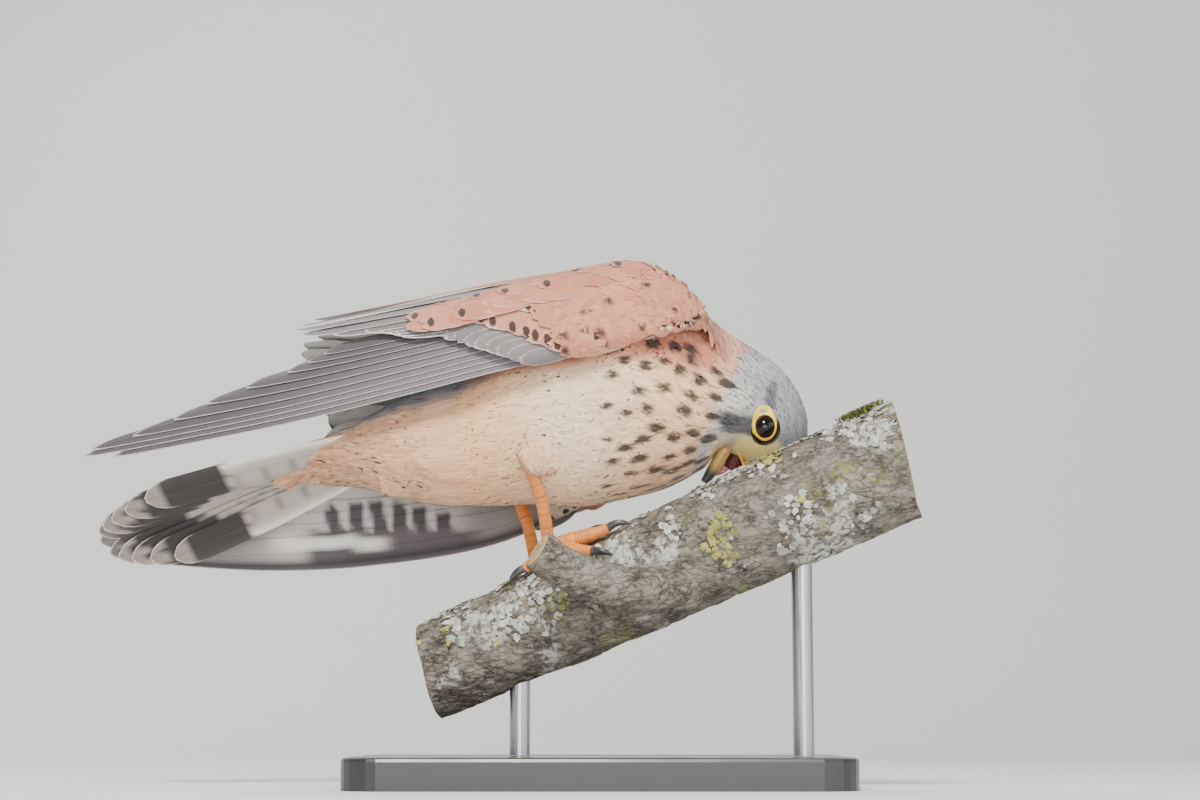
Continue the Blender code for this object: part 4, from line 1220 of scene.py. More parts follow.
def tail_coat():
    """The twelve tail feathers, with their black band, pale tips darkened by painted shade, a painted
    highlight along the outermost pair's edges, and the faint bars below.
    """
    piece = Piece("tail_quills")
    u, v, under, faces = vane_grid(34, 10)
    lower = np.maximum(under, np.abs(v) > 0.99)
    for pair in range(6):
        for side in (-1, 1):
            level = pair + 1 if pair or side < 0 else 0
            length = TAIL_LENGTH - (0, 1.5, 4, 8.5, 15, 24)[pair]
            middle = 2.2 * pair + (0.5 if pair == 0 else 3.5)
            fade = np.clip((u - 0.86) / 0.14, 0, 1)
            half = 7.6 * (0.55 + 0.45 * np.minimum(1, u * 2)) * np.sqrt(np.maximum(0.03, 1 - fade ** 2.3))
            centre = middle * (0.35 + 0.65 * u) + pair * 0.35
            along = 14 + (length - 14) * u
            across = centre + half * v
            depth = level * 0.9 - 2.6 + 0.35 * under + 0.25 * v ** 2
            points = tail_points(along, side * across, depth)[None]
            to_tip = length - along
            top_side = blend_colours(srgb(128, 134, 146), srgb(112, 118, 130), v * 0.5 + 0.5)
            below = blend_colours(srgb(168, 160, 152), srgb(196, 186, 174), v * 0.5 + 0.5)
            tint = blend_colours(top_side, below, lower)
            # Painted highlight: the outermost pair's white edge stands in for sunlight on it.
            tint = blend_colours(tint, srgb(236, 232, 226), (pair == 5) * ease(0.45, 0.75, v))
            wave = 0.8 * np.sin(across * 0.9 + pair)
            band = ease(5.5, 7.0, to_tip + wave) * ease(33.0, 31.0, to_tip + wave)
            tip = ease(6.2, 5.0, to_tip + wave)
            dark = srgb(30, 27, 30) if pair > 1 else srgb(58, 53, 54)
            # The tips' grey-brown is their pale colour darkened as painted shade.
            pale = srgb(150, 140, 132) if pair > 1 else srgb(116, 106, 102)
            tint = layered(tint, (dark, band * 0.96), (pale, tip * 0.95))
            if pair > 2:
                bars = (np.sin(to_tip * 2 * math.pi / 11.0) > 0.5) * ease(0.3, -0.2, v) * ease(33, 37, to_tip)
                tint = blend_colours(tint, srgb(92, 86, 88), bars * 0.55 * under)
            vane = np.stack(np.broadcast_arrays(along, half * v, rng.random()), -1)
            rim = np.minimum((1 - np.abs(v)) * half, (1 - u) * length)
            edge = np.stack(np.broadcast_arrays(rim, 0.7, 0.6 * ease(12, 5, to_tip)), -1)
            corner = np.array([0.1 + 0.06 * (pair + 6 * (side > 0)), 0.5])
            uvs = corner + TUFT_PATCH * np.stack([v / 2, u - 0.5], -1)
            flips = faces[:, ::-1] if side < 0 else faces
            piece.add(points, flips, uvs[None], tint[None], vane[None], np.zeros(3), edge[None])
    piece.build(FLIGHT_FEATHERS, ("tail",))


def thigh_surface(side, heel, knee):
    """A plumed thigh as a function of the place along it and the angle round it."""
    heel, knee = Vector(heel), Vector(knee)
    inward = Vector((0, -side, 0))
    path = [knee + Vector((6, -side * 12, 6)), knee + inward * 11, knee.lerp(heel, 0.45) + inward * 8.5,
            knee.lerp(heel, 0.8) + inward * 3.4, heel + inward * 0.6]
    path.append(heel + (heel - knee).normalized() * 3)
    radii = (4.0, 6.8, 9.2, 8.8, 6.8, 4.2)
    rows = [(5 - index, *point, radius) for index, (point, radius) in enumerate(zip(path, radii))]
    first = unit(np.array(knee - heel))
    across = unit(np.cross(first, [0.0, 1.0, 0.0]))
    upright = np.cross(first, across)

    def surface(place, angle):
        x, y, z, radius = read(tuple(rows), place)
        middle = np.stack([x, y, z], -1)
        ring = across * np.cos(angle)[..., None] + upright * 0.58 * np.sin(angle)[..., None]
        return middle + ring * radius[..., None]

    return surface


def thigh_coat(label, side, heel, knee):
    """The long loose feathers of a thigh, and the skin under them."""
    surface = thigh_surface(side, heel, knee)
    rings = surface(*ring_grid(np.linspace(0.02, 5, 26), 32))
    centre = rings.mean(1, keepdims=True)
    rings = centre + (rings - centre) * 0.88
    tint = tinted(rings.shape, blend_colours(BUFF_PALE, BUFF, 0.6) * 0.92)
    smooth_solid(f"thigh_{label}_skin", rings, SKIN, (f"thigh_{label}",), tint)
    a, b = scatter(surface, (0.25, 0), (4.9, 2 * math.pi), lambda a, b, points: 1.25 + 0.17 * a, 22000)
    length = 6.5 + 1.6 * a
    width = 2.0 + 0.5 * a
    tint = blend_colours(BUFF_PALE, BUFF, rng.uniform(0.45, 0.8, len(a)))
    piece = Piece(f"thigh_{label}_coat")
    feathers(piece, surface, a, b, length, width, lift=0.55, sink=0.5, tint=tint, lean=sway(len(a), 0.4),
             unwrap=np.stack([a / 6, b / 7], -1), outward=1, **(SOFT | {"rows": 5}))
    piece.build(FEATHERS)


def spaced_path(points, count):
    """A path through points, evenly resampled on smooth spans."""
    rows = tuple((index, *point) for index, point in enumerate(points))
    return np.stack(read(rows, np.linspace(0, len(points) - 1, count)), -1)


def tube_rings(path, radii, sides, flat=1.0):
    """Rings of points round a path."""
    path = np.asarray(path, float)
    along = unit(np.gradient(path, axis=0))
    across = unit(np.cross(along[0], [0.13, 1.0, 0.21]))
    rings = []
    angles = np.linspace(0, 2 * math.pi, sides, endpoint=False)
    for centre, way, radius in zip(path, along, np.broadcast_to(radii, len(path))):
        across = unit(across - way * (across @ way))
        upright = np.cross(way, across)
        spokes = across * np.cos(angles)[:, None] + upright * flat * np.sin(angles)[:, None]
        rings.append(centre + spokes * radius)
    return np.array(rings)


def bill_rings(table, count, sides):
    """Rings of a bill part through its sections."""
    rows = tuple((index, *row) for index, row in enumerate(table))
    back_x, back_z, mouth_x, mouth_z, half_width, turn = read(rows, np.linspace(0, len(table) - 1, count))
    angle = np.linspace(0, 2 * math.pi, sides, endpoint=False)
    rise = np.cos(angle) / 2
    columns = [part[:, None] for part in (back_x, back_z, mouth_x, mouth_z, half_width, turn)]
    back_x, back_z, mouth_x, mouth_z, half_width, turn = columns
    x = (back_x + mouth_x) / 2 + (back_x - mouth_x) * rise
    z = (back_z + mouth_z) / 2 + (back_z - mouth_z) * rise
    y = turn + half_width * np.sin(angle)
    return np.stack([x, y, z], -1)


def skin_like(name, fine, rough=0.45, glow=0.15):
    """Bare waxy or scaled skin, coloured point by point."""
    g = Graph(name, Roughness=rough, Specular_IOR_Level=0.35, Subsurface_Weight=glow, Subsurface_Scale=0.001)
    grain = g.cells(fine)
    cloud = g.noise(fine * 0.6, 3)
    colour = g.shade(g.colours("tint"), g.smooth(g.add(grain, g.times(cloud, 0.4)), 0.1, 0.9, 0.86, 1.06))
    return g.finish(colour, g.smooth(cloud, 0.3, 0.8, rough - 0.08, rough + 0.1), grain, 0.00012)


def horn_material():
    g = Graph("horn", Specular_IOR_Level=0.55, Coat_Weight=0.25, Coat_Roughness=0.2)
    streaks = g.noise(900, 4, vector=g.place(scale=(1, 1, 0.15)))
    colour = g.mix(g.times(streaks, 0.35), g.colours("tint"), srgb(120, 122, 128))
    return g.finish(colour, g.smooth(streaks, 0.2, 0.8, 0.22, 0.42), streaks, 0.00005)


def eye_material():
    g = Graph("eye", Roughness=0.05, Specular_IOR_Level=0.35, IOR=1.36, Coat_Weight=0.3, Coat_Roughness=0.01)
    fibres = g.noise(1400, 4)
    return g.finish(g.mix(g.times(fibres, 0.3), g.colours("tint"), srgb(20, 10, 8)))


WAXY = skin_like("waxy_skin", 1500, 0.5)
SCALY = skin_like("scaled_skin", 900, 0.5)
HORN = horn_material()
EYE_GLASS = eye_material()


def tinted(shape, colour):
    """One colour at every point."""
    return np.broadcast_to(np.asarray(colour, float), shape)


def eyeball(label, side):
    """An eyeball with its cornea."""
    centre = np.array([EYE.x, EYE.y + side * EYE_FROM_MEDIAN, EYE.z])
    polar, around = ring_grid(np.linspace(0.02, math.pi - 0.02, 48), 64)
    flat = EYE_RADIUS * np.sin(polar)
    radius = EYE_RADIUS + 0.35 * ease(4.2, 0.5, flat) * (polar < 1.6)
    rings = np.stack([np.sin(polar) * np.cos(around), side * np.cos(polar),
                      np.sin(polar) * np.sin(around)], -1)
    rings = centre + rings * radius[..., None]
    iris = blend_colours(srgb(4, 3, 3), srgb(34, 17, 12), ease(2.4, 3.0, flat))
    smooth_solid(f"eyeball_{label}", rings, EYE_GLASS, (f"eye_{label}",), iris)


def skin_round_eye(side, turns, outside):
    """How far from the median the skin is along the outer edge of an eye ring, evened out."""
    away = []
    for turn in turns:
        x = EYE.x + EYE_RING[0] * 1.12 * math.cos(turn)
        z = EYE.z + EYE_RING[1] * 1.08 * math.sin(turn) + 1.5 * max(math.sin(turn), 0) ** 1.6
        hit = outside.ray_cast(Vector((x, side * 60, z)) * MM, Vector((0, -side, 0)))[0]
        away.append(abs(hit.y / MM - EYE.y) if hit else 12.0)
    count = len(turns)
    return np.convolve(np.tile(away, 3), np.ones(9) / 9, "same")[count:2 * count]


def eye_ring(label, side, outside):
    """The yellow ring round an eye, from under the lid's edge out to the feathers."""
    turns = np.linspace(0, 2 * math.pi, 96, endpoint=False)
    skin_y = skin_round_eye(side, turns, outside)
    profile = []
    for share, stand in ((-0.06, -1.2), (0.0, -0.2), (0.06, 0.3), (0.2, 0.7), (0.4, 1.05), (0.62, 1.3),
                         (0.85, 1.2), (1.0, 0.6), (1.05, -1.0), (0.5, -2.0)):
        half_x = EYE_OPENING[0] + (EYE_RING[0] - EYE_OPENING[0]) * share
        half_z = EYE_OPENING[1] + (EYE_RING[1] - EYE_OPENING[1]) * share
        x, z = half_x * np.cos(turns), half_z * np.sin(turns)
        z = z + 1.4 * min(max(share, 0), 1.05) * np.maximum(np.sin(turns), 0) ** 1.6
        ball = EYE_FROM_MEDIAN + np.sqrt(np.maximum(EYE_RADIUS ** 2 - x * x - z * z, 4.0))
        level = ball * (1 - ease(0.1, 1.0, share)) + skin_y * ease(0.1, 1.0, share)
        wrinkle = 0.09 * np.sin(turns * 21 + share * 5) * np.sin(math.pi * min(max(share, 0), 1))
        y = side * (level + stand + wrinkle)
        profile.append(np.stack([EYE.x + x, EYE.y + y, EYE.z + z], -1))
    rings = np.stack(profile, 1)
    lower = ease(-0.2, -0.9, np.sin(turns))[:, None]
    upper = ease(0.5, 0.95, np.sin(turns))[:, None]
    front = ease(0.35, 0.85, np.cos(turns))[:, None]
    share = np.linspace(0, 1, rings.shape[1])[None]
    # The darker orange of the lower lid is painted shade.
    tint = layered(srgb(240, 206, 52), (srgb(222, 160, 34), lower * (share < 0.4)),
                   (srgb(240, 222, 110), upper * 0.5), (srgb(150, 110, 20), ease(0.22, 0.05, share) * 0.7),
                   (srgb(48, 44, 42), front * ease(0.6, 0.75, share)))
    ring_solid(f"eye_ring_{label}", rings, WAXY, tint)


def eyes():
    """Both eyes and the rings round them."""
    outside = BVHTree.FromObject(SKIN_BODY, bpy.context.evaluated_depsgraph_get())
    for side, label in ((-1, "right"), (1, "left")):
        eyeball(label, side)
        eye_ring(label, side, outside)


def ring_solid(name, rings, material, tint):
    """A closed hoop through rings of points."""
    rows, columns = rings.shape[:2]
    faces = grid_faces(rows + 1, columns, True) % (rows * columns)
    item = solid_item(name, rings.reshape(-1, 3), faces, material)
    settle_normals(item)
    u, v = np.meshgrid(np.linspace(0, 1, columns), np.linspace(0, 1, rows))
    write_uv(item.data, np.stack([u, v], -1).reshape(-1, 2))
    write_points(item.data, "tint", tint.reshape(-1, 3))
    return dress(item)


def settle_normals(item):
    """Turn an object's faces outwards."""
    work = bmesh.new()
    work.from_mesh(item.data)
    bmesh.ops.recalc_face_normals(work, faces=work.faces)
    work.to_mesh(item.data)
    work.free()


def bill():
    """The cere with its nostrils, the hooked bill, and the open mouth."""
    rings = bill_rings(CERE, 26, 64)
    middle = rings.mean(1, keepdims=True)
    for side in (-1, 1):
        nostril = np.array(NOSTRIL) + [0, side * NOSTRIL_FROM_MEDIAN, 0]
        away = np.linalg.norm(rings - nostril, axis=-1)
        dent = 0.9 * ease(1.15, 0.7, away) - 0.22 * ease(1.9, 1.2, away) * ease(0.8, 1.2, away)
        rings = rings - unit(rings - middle) * dent[..., None]
        smooth_solid(f"nostril_cone_{side + 2}", ball_rings(nostril - [0, side * 0.75, 0], 0.34, 10), HORN,
                     (), tinted((8, 10, 3), srgb(150, 120, 60)))
    tint = blend_colours(srgb(236, 200, 92), srgb(240, 222, 150), np.linspace(1, 0, 26)[:, None] ** 2
                         + np.zeros((26, 64)))
    smooth_solid("cere_skin", rings, WAXY, ("cere",), tint)

    share = np.linspace(0, 1, 36)[:, None]
    rings = bill_rings(UPPER_BILL, 36, 56)
    angle = np.linspace(0, 2 * math.pi, 56, endpoint=False)[None]
    mouth = ease(-0.7, -1.0, np.cos(angle))
    tooth = 0.55 * np.exp(-((share - 0.62) / 0.05) ** 2) - 0.45 * np.exp(-((share - 0.75) / 0.05) ** 2)
    hollow = 0.9 * ease(-0.93, -1.0, np.cos(angle)) * ease(0.95, 0.6, share)
    rings[..., 0] -= tooth * mouth
    rings[..., 0] += hollow
    tint = blend_colours(srgb(150, 160, 172), srgb(34, 34, 38), ease(0.15, 0.75, share) + 0 * angle)
    smooth_solid("bill_upper_horn", rings, HORN, ("bill_upper",), tint)

    share = np.linspace(0, 1, 30)[:, None]
    rings = bill_rings(LOWER_BILL, 30, 56)
    trough = 1.5 * ease(0.75, 1.0, np.cos(angle)) * ease(1.0, 0.7, share)
    rings[..., 0] -= trough * 0.86
    rings[..., 2] += trough * 0.3
    tint = blend_colours(srgb(226, 196, 110), srgb(46, 46, 50), ease(0.4, 0.8, share) + 0 * angle)
    smooth_solid("bill_lower_horn", rings, HORN, ("bill_lower",), tint)

    path = spaced_path(((57.0, 3.9, 131.5), (54.0, 4.0, 128.0), (51.6, 4.0, 123.6)), 16)
    lining = tube_rings(path, 4.3 * np.sqrt(np.linspace(1, 0.55, 16)), 32, 0.95)
    # Darker towards the throat end: painted shade inside the mouth.
    deep = np.linspace(0, 1, 16)[:, None] + np.zeros((16, 32))
    smooth_solid("mouth_lining", lining, WAXY, (),
                 blend_colours(srgb(46, 14, 14), srgb(104, 44, 40), deep))
    path = spaced_path(((51.5, 3.9, 128.5), (49.0, 3.9, 124.5), (45.8, 3.9, 121.4)), 14)
    radii = np.array([1.8, 2.0, 2.1, 2.1, 2.1, 2.0, 1.9, 1.8, 1.7, 1.5, 1.3, 1.0, 0.7, 0.3])
    tongue = tube_rings(path, radii, 20, 0.5)
    smooth_solid("tongue", tongue, WAXY, (), tinted(tongue.shape, srgb(206, 140, 138)))
    for side in (-1, 1):
        y = 4.0 + side * 5.0
        rim = spaced_path(((57.4, y - side * 0.6, 119.5), (56.6, y, 124.0), (54.8, y + side * 0.7, 128.6),
                           (52.2, y + side * 0.9, 131.8), (49.6, y + side * 0.7, 130.0),
                           (46.4, y - side * 0.3, 125.4), (43.6, y - side * 1.8, 121.5)), 40)
        radii = 0.62 - 0.3 * np.abs(np.linspace(-1, 1, 40)) ** 3
        rings = tube_rings(rim, radii, 14)
        smooth_solid(f"gape_rim_{side + 2}", rings, WAXY, (),
                     tinted(rings.shape, srgb(228, 170, 70)))


def ball_rings(centre, radius, sides):
    """Rings of a small ball."""
    polar, turn = ring_grid(np.linspace(0.15, math.pi - 0.15, 8), sides)
    spokes = np.stack([np.sin(polar) * np.cos(turn), np.cos(polar), np.sin(polar) * np.sin(turn)], -1)
    return np.asarray(centre) + spokes * radius


def vent_surface(rear, angle):
    """From the rump and vent, at zero, to a ring round the tail, at one."""
    start = body_point(np.full_like(rear, 1.15), angle)
    end = tail_points(46, 11 * np.sin(angle), -1.2 - 4.0 * np.cos(angle))
    leave = np.array([-58.0, 0, -12.0])
    arrive = np.array([-math.cos(TAIL_DROP), 0, -math.sin(TAIL_DROP)]) * 48
    whole = np.asarray(rear)[..., None]
    s = np.minimum(whole, 1)
    return cubic(start, leave, end, arrive, s) + arrive * (whole - s)


def vent_coat():
    """The long soft coverts under the tail, the shorter ones over it, and the skin within."""
    def surface(a, b):
        return vent_surface(1 - a, b)

    rings = surface(*ring_grid(np.linspace(1.0, 0.02, 40), 72))
    centre = rings.mean(1, keepdims=True)
    inner = 2.0 / np.maximum(np.linalg.norm(rings - centre, axis=-1, keepdims=True), 4)
    rings = centre + (rings - centre) * (1 - inner)
    tint = tinted(rings.shape, BUFF * 0.85)
    smooth_solid("vent_skin", rings, SKIN, (), tint)
    a, b = scatter(surface, (0.1, 0), (1.0, 2 * math.pi), lambda a, b, points: 2.5 - 0.2 * a, 60000,
                   (0.01, 0.05))
    upper = ease(0.45, 0.75, np.cos(b))
    length = 20 - 5 * a
    shade = rng.uniform(0, 1, len(a)) * 0.6 + 0.4 * ease(0.2, 0.9, a)
    # The undertail coverts' reddish-buff, darkened in part as painted shade.
    under = blend_colours(srgb(186, 136, 104), srgb(232, 190, 150), shade)
    tint = blend_colours(under, RUMP, upper)
    streaked = (rng.random(len(a)) < 0.14) & (upper < 0.3) & (a < 0.75)
    mark = marks(streaked, len(a), length * 0.7, length * 0.22, 0.5)
    piece = Piece("coat_vent")
    feathers(piece, surface, a, b, length, 4.8, lift=0.7, sink=0.6, tint=tint, mark=mark,
             lean=sway(len(a), 0.35), unwrap=np.stack([0.9 + a / 20, b / BODY_PATCH[1]], -1),
             steps=(0.01, 0.05), **(SOFT | {"crown": 0.12}))
    piece.build(FEATHERS)


def scaled_tint(rings, saw, pale, dark):
    """The colours of a scaled limb, darker towards the edge of each scute."""
    ridge = (saw ** 3)[:, None] + np.zeros(rings.shape[:2])
    return blend_colours(pale, dark, ridge ** 2)


def toe_with_claw(leg, toe, bearing, length):
    """One toe along the bark, and its curved claw."""
    label, side, foot_x, foot_angle = leg[:4]
    bearing = math.radians(bearing) * -side
    along, around = math.cos(bearing), math.sin(bearing)

    def over_bark(reach, lift):
        x = foot_x + along * reach * TOE_SLANT
        return bark_at(x, foot_angle + around * reach / TOE_TURN_RADIUS, lift)

    points = []
    for share in np.linspace(0, 1, 9):
        lift = 5.4 - 2.4 * min(1.0, share * 1.6) + 0.9 * math.sin(math.pi * share)
        points.append(over_bark(length * share, lift))
    run = np.linspace(0, 1, 80)
    saw = (run * length * 0.8) % 1
    pads = 0.3 * np.maximum(0, np.sin(run * math.pi * 2 * round(length / 8) + 0.6))
    radii = 3.1 - 1.1 * run + 0.07 * saw ** 3 + pads * (run > 0.2)
    rings = tube_rings(spaced_path(points, 80), radii, 36)
    nodes = (f"foot_{label}",) if toe == "middle" else ()
    smooth_solid(f"toe_{label}_{toe}", rings, SCALY, nodes,
                 scaled_tint(rings, saw, srgb(218, 140, 70), srgb(172, 96, 44)))
    claw = []
    for reach, lift in ((-0.8, 3.1), (1.5, 3.6), (3.6, 3.6), (5.6, 3.0), (7.2, 2.0), (8.4, 0.8)):
        claw.append(over_bark(length + reach, lift))
    run = np.linspace(0, 1, 40)
    rings = tube_rings(spaced_path(claw, 40), 1.55 * (1 - run ** 1.7) ** 0.75 + 0.08, 24, 0.8)
    tint = blend_colours(srgb(70, 66, 66), srgb(18, 17, 18),
                         ease(0, 0.35, run)[:, None] + np.zeros(rings.shape[:2]))
    smooth_solid(f"talon_{label}_{toe}", rings, HORN, (f"claw_{label}_{toe}",), tint)


def legs():
    """The scaled tarsi, the toes with their claws, and the pads of the feet."""
    for leg in LEGS:
        label, side, foot_x, foot_angle, heel, knee = leg
        pad = np.array(bark_at(foot_x, foot_angle, 5.6))
        heel, knee = np.array(heel, float), np.array(knee, float)
        ankle = pad + unit(heel - pad) * 3.6
        middle = (heel + ankle) / 2 + [1.2, 0, -0.6]
        path = spaced_path((heel + (knee - heel) * 0.12, heel + (ankle - heel) * 0.1, middle, ankle,
                            pad + unit(heel - pad) * 0.5), 90)
        run = np.linspace(0, 1, 90)
        saw = (run * 26) % 1
        radii = 2.75 - 0.35 * np.sin(run * math.pi) + 0.08 * saw ** 3 + 0.9 * ease(0.86, 1.0, run)
        rings = tube_rings(path, radii, 40, 0.88)
        smooth_solid(f"tarsus_{label}_scaled", rings, SCALY, (f"tarsus_{label}",),
                     scaled_tint(rings, saw, srgb(214, 134, 66), srgb(168, 92, 42)))
        for toe, bearing, length in TOES:
            toe_with_claw(leg, toe, bearing, length)
        rings = tube_rings(spaced_path((ankle + [0, 0, 1], pad, pad + (pad - ankle) * 0.75), 24),
                           4.1 * np.sqrt(np.maximum(0.02, 1 - np.linspace(-0.75, 1, 24) ** 2)), 36)
        smooth_solid(f"foot_pad_{label}", rings, SCALY, (),
                     tinted(rings.shape, srgb(222, 138, 58)))


def perch_frame(x):
    """The axis, radius and cross directions of the branch at x."""
    y, z, radius = read(PERCH, x)
    before, after = read(PERCH, x - 2), read(PERCH, x + 2)
    along = unit(np.stack([np.full_like(y, 4.0), after[0] - before[0], after[1] - before[1]], -1))
    near = unit(np.stack([along[..., 1], -along[..., 0], np.zeros_like(y)], -1))
    return np.stack([np.asarray(x) + 0 * y, y, z], -1), radius, np.cross(near, along), near


def bark_relief(x, angle):
    """How far the broad lumps of the bark stand out at x and the angle round it."""
    return BARK_RELIEF * noise.noise(Vector((x / BARK_PITCH, math.cos(angle) * 1.7, math.sin(angle) * 1.7)))


def bark_at(x, angle, lift):
    """A point over the bark: angle from the top towards the camera side, lift above the bark."""
    centre, radius, up, near = perch_frame(np.array(float(x)))
    way = up * math.cos(angle) + near * math.sin(angle)
    return centre + way * (radius + bark_relief(x, angle) + lift)


def bark_surface(x, angle):
    """The smooth bark, as a function of x and the angle round it."""
    centre, radius, up, near = perch_frame(x)
    angle = np.asarray(angle)[..., None]
    return centre + (up * np.cos(angle) + near * np.sin(angle)) * (radius + BARK_RELIEF / 2)[..., None]


def roughen(rings, depth, size, seed):
    """Push rings of points out and in as weathered bark, cracked along the branch."""
    middle = rings.mean(1, keepdims=True)
    out = unit(rings - middle)
    lift = np.empty(rings.shape[:2])
    for row in range(rings.shape[0]):
        for column in range(rings.shape[1]):
            x, y, z = rings[row, column]
            plates = noise.noise(Vector((x / (size * 1.9) + seed, y / size, z / size)))
            cracks = abs(noise.noise(Vector((x / (size * 1.5), y / (size * 0.55) + seed, z / (size * 0.55)))))
            fine = noise.noise(Vector((x / 1.6, y / 1.3, z / 1.3 + seed)))
            lift[row, column] = plates * 0.8 + min(cracks * 2.6, 0.5) - 0.3 + fine * 0.3
    return rings + out * (lift * depth)[..., None]


def bark_material():
    """Grey bark with pale crusts of lichen, yellow-green patches, and cracks darkened with painted shade."""
    g = Graph("bark", Specular_IOR_Level=0.25)
    lie = g.place(scale=(0.4, 1, 1), turn=(0, 0.45, 0.2))
    plates = g.noise(120, 8, 0.68)
    grain = g.noise(800, 6, 0.65, lie)
    colour = g.mix(g.smooth(plates, 0.32, 0.7), srgb(58, 53, 46), srgb(138, 131, 118))
    colour = g.mix(g.smooth(grain, 0.4, 0.75, 0.0, 0.55), colour, srgb(172, 166, 152))
    bend = {0: lie, 1: g.times(g.noise(260, 4), 0.004)}
    bent = g.node("ShaderNodeVectorMath", bend, operation="ADD").outputs[0]
    crack = g.cells(360, bent, "DISTANCE_TO_EDGE")
    # The cracks are darkened with painted shade.
    crack_shade = g.times(g.smooth(crack, 0.0, 0.1, 0.6, 0.0), g.smooth(g.noise(70, 3), 0.35, 0.6, 0.15, 1.0))
    colour = g.mix(crack_shade, colour, srgb(32, 28, 24))
    where = g.noise(38, 5, 0.65)
    crust = g.times(g.smooth(where, 0.56, 0.63), g.smooth(g.noise(420, 4), 0.4, 0.52))
    colour = g.mix(g.times(crust, 0.85), colour, srgb(196, 199, 188))
    moss_at = g.noise(30, 4, 0.6, g.place(scale=(1, 1, 1), turn=(1.1, 0.3, 0.7)))
    moss = g.times(g.smooth(moss_at, 0.59, 0.68), g.smooth(g.noise(520, 4), 0.42, 0.58))
    colour = g.mix(g.times(moss, 0.7), colour, srgb(132, 132, 70))
    height = g.add(g.times(grain, 0.7), g.times(g.smooth(crack, 0.0, 0.12), 0.45))
    height = g.add(height, g.times(crust, 0.5))
    return g.finish(colour, g.smooth(plates, 0.2, 0.8, 0.95, 0.78), height, 0.0005)


def branch():
    """The cut branch and the stub of its side branch."""
    bark = bark_material()
    first, last = PERCH[0][0], PERCH[-1][0]
    x, angle = ring_grid(np.linspace(first, last, 240), 170)
    rings = bark_surface(x, angle)
    centre = rings.mean(1, keepdims=True)
    rings = rings - unit(rings - centre) * (BARK_RELIEF / 2)
    for row in range(rings.shape[0]):
        for column in range(rings.shape[1]):
            out = unit(rings[row, column] - centre[row, 0])
            rings[row, column] += out * bark_relief(x[row, column], angle[row, column])
    rings = roughen(rings, 1.0, 7.0, 3.1)
    smooth_solid("branch_bark", rings, bark, ("perch",))
    path = np.stack(read(STUB, np.linspace(0, 4, 120)), -1)
    swell = path[:, 3] + 3.2 * ease(1.35, 0.2, np.linspace(0, 4, 120))
    rings = tube_rings(path[:, :3], swell, 90)
    smooth_solid("stub_bark", roughen(rings, 0.75, 5.0, 8.7), bark)


def cut_ends():
    """Pale sawn wood with year rings on the three cut faces."""
    g = Graph("sawn_wood", Roughness=0.7, Specular_IOR_Level=0.3)
    away, turn = g.values("vane")[:2]
    wobble = g.noise(45, 4)
    pace = g.times(g.math("SINE", g.times(away, 0.62)), 2.4)
    rings = g.math("SINE", g.add(g.add(g.times(away, 3.4), pace), g.times(wobble, 24.0)))
    colour = g.mix(g.smooth(rings, -0.6, 0.9, 0.0, 0.7), srgb(204, 176, 134), srgb(166, 132, 92))
    colour = g.mix(g.smooth(away, 15.5, 19.0, 0.0, 0.5), colour, srgb(118, 94, 68))
    colour = g.mix(g.smooth(g.noise(90, 4), 0.45, 0.8, 0.0, 0.35), colour, srgb(120, 100, 76))
    rays = g.math("SINE", g.add(g.times(turn, 70.0), g.times(wobble, 5.0)))
    wood = g.finish(colour, None, g.add(rings, g.times(rays, 0.5)), 0.00008)
    ends = []
    for x, way in ((PERCH[0][0], -1), (PERCH[-1][0], 1)):
        centre, radius, up, near = perch_frame(np.array(float(x)))
        ends.append((centre, np.cross(near, up) * way, up, float(radius) - 1.2))
    path = np.stack(read(STUB, np.linspace(3.9, 4, 2)), -1)
    run = unit(path[1, :3] - path[0, :3])
    up = unit(np.cross(run, [0.0, 1.0, 0.0]))
    ends.append((path[1, :3], run, up, path[1, 3] - 1.0))
    for index, (centre, out, up, radius) in enumerate(ends):
        out = unit(np.asarray(out))
        out = out if out @ (centre - np.array([30.0, -10.0, 90.0])) > 0 else -out
        across = np.cross(out, up)
        away = np.concatenate([np.linspace(0.3, 1, 12) * radius, [radius]])
        depth = np.concatenate([np.full(11, 0.45), [0.25], [-1.5]])
        turn = np.linspace(0, 2 * math.pi, 72, endpoint=False)
        spokes = up * np.cos(turn)[:, None] + across * np.sin(turn)[:, None]
        rings = centre + spokes[None] * away[:, None, None] + out * depth[:, None, None]
        item = smooth_solid(f"sawn_end_{index}", rings, wood)
        far, around = np.meshgrid(away, turn, indexing="ij")
        values = np.stack([far, around, 0 * far], -1).reshape(-1, 3)
        write_points(item.data, "vane", np.concatenate([values, [[0, 0, 0], [radius, 0, 0]]]))


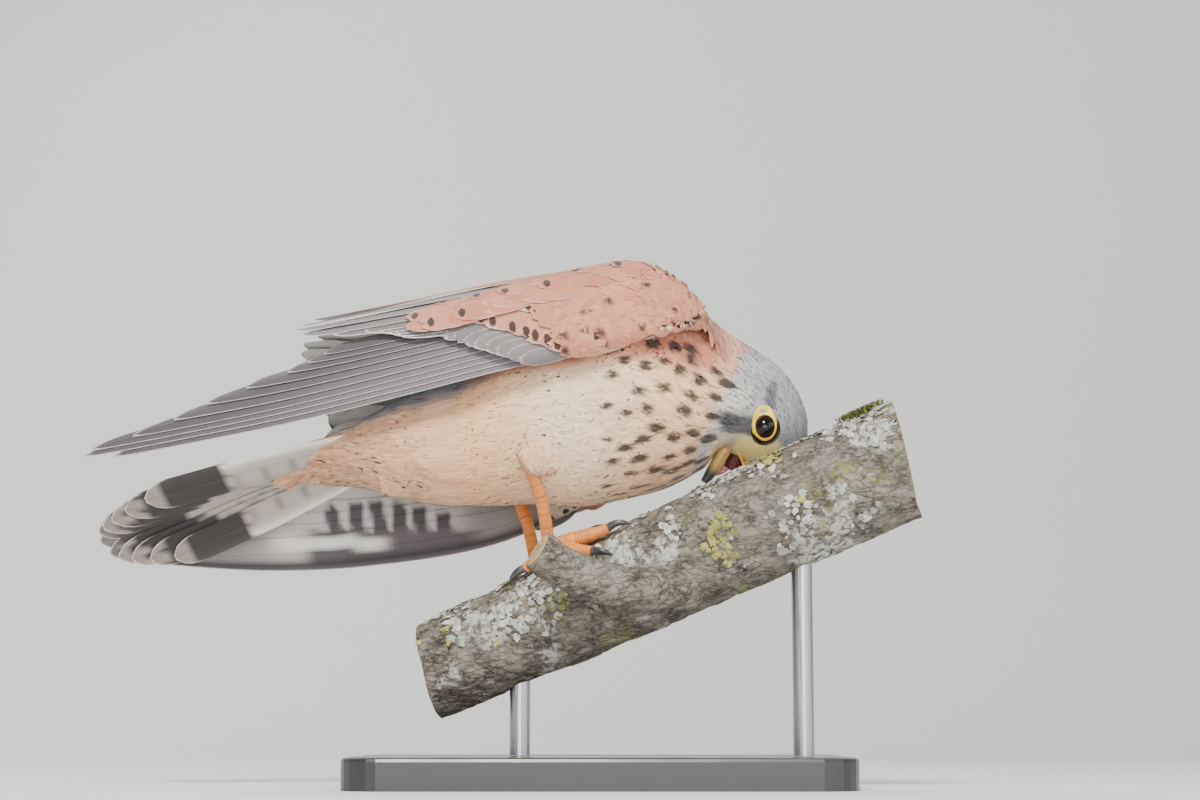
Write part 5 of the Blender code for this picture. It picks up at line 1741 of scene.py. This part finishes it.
def lichen():
    """Crusts and leafy scales of lichen, and a little moss, on the branch."""
    def patchy(x, angle):
        points = bark_surface(x, angle)
        lumps = np.array([noise.noise(Vector(point) / 13) for point in points.tolist()])
        dabs = np.array([noise.noise(Vector(point) / 4.5 + Vector((5, 1, 2))) for point in points.tolist()])
        wanted = 0.27 - 0.14 * np.cos(angle) - 0.1 * ease(40, 90, x)
        return lumps + 0.35 * dabs > wanted

    x, angle = scatter(bark_surface, (-62, -2.4), (114, 2.4), lambda x, t, points: 1.5, 26000, (0.5, 0.02),
                       patchy)
    size = rng.uniform(1.2, 3.4, len(x))
    points = bark_surface(x, angle).tolist()
    kind = np.array([noise.noise(Vector(point) / 22 + Vector((7, 3, 1))) for point in points])
    grey = blend_colours(srgb(158, 162, 152), srgb(222, 223, 214), rng.random(len(x)))
    olive = blend_colours(srgb(150, 146, 84), srgb(190, 182, 108), rng.random(len(x)))
    tint = np.where((kind > 0.2)[:, None], olive, grey)
    piece = Piece("lichen_scales")
    feathers(piece, bark_surface, x, angle, size, size * 0.95, lean=rng.uniform(0, 6.28, len(x)), lift=0.55,
             sink=0.25, crown=0.2, thick=0.2, rows=5, columns=5, fray=0.3, blunt=0.5, tip=0.5, root=0.7,
             tint=tint, steps=(0.5, 0.02), unwrap=np.stack([x / 200, angle / 7], -1), outward=1)
    piece.build(LICHEN)

    x, angle = scatter(bark_surface, (99, -0.7), (115, 0.5), lambda x, t, points: 0.55, 9000, (0.5, 0.02),
                       lambda x, t: np.hypot((x - 108) / 7, t / 0.55) < rng.uniform(0.5, 1.1, len(x)))
    piece = Piece("moss_tufts")
    tint = blend_colours(srgb(58, 68, 32), srgb(122, 126, 62), rng.random(len(x)))
    feathers(piece, bark_surface, x, angle, rng.uniform(1.2, 2.6, len(x)), 0.55,
             lean=rng.uniform(0, 6.28, len(x)), lift=2.6, sink=0.3, crown=0.05, thick=0.1, rows=4,
             columns=3, tint=tint, steps=(0.5, 0.02), unwrap=np.stack([x / 200, angle / 7], -1),
             outward=1, rise_power=0.8)
    piece.build(LICHEN)


def lichen_material():
    g = Graph("lichen", Roughness=0.95, Specular_IOR_Level=0.15)
    grain = g.noise(1500, 4)
    colour = g.mix(g.smooth(grain, 0.3, 0.75, 0.35, 0.0), g.colours("tint"), srgb(60, 62, 50))
    return g.finish(colour, height=grain, depth=0.0002)


LICHEN = lichen_material()


def stand_looks():
    """Satin lacquer on the base and brushed steel on the rods."""
    g = Graph("stand_lacquer", Specular_IOR_Level=0.5, Coat_Weight=0.4, Coat_Roughness=0.18)
    peel = g.noise(600, 2)
    dust = g.noise(45, 4)
    colour = g.mix(g.smooth(dust, 0.45, 0.8, 0.0, 0.3), srgb(40, 40, 42), srgb(66, 65, 64))
    lacquer = g.finish(colour, g.smooth(dust, 0.3, 0.8, 0.3, 0.48), peel, 0.00004)
    g = Graph("stand_steel", Metallic=1.0)
    lines = g.noise(2600, 3, vector=g.place(scale=(1, 1, 0.02)))
    colour = g.mix(lines, srgb(150, 152, 156), srgb(206, 207, 209))
    steel = g.finish(colour, g.smooth(lines, 0.2, 0.8, 0.24, 0.42), lines, 0.00003)
    for node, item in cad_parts.items():
        if node.startswith("stand_"):
            for place in item.material_slots:
                place.material = lacquer if node == "stand_base" else steel


camera()
floor_and_light()
SKIN_BODY = body_skin()
body_coat()
wing_coat(FOLDED)
wing_coat(DROOPED)
tail_coat()
for label, side, foot_x, foot_angle, heel, knee in LEGS:
    thigh_coat(label, side, heel, knee)
vent_coat()
eyes()
bill()
legs()
branch()
cut_ends()
lichen()
stand_looks()
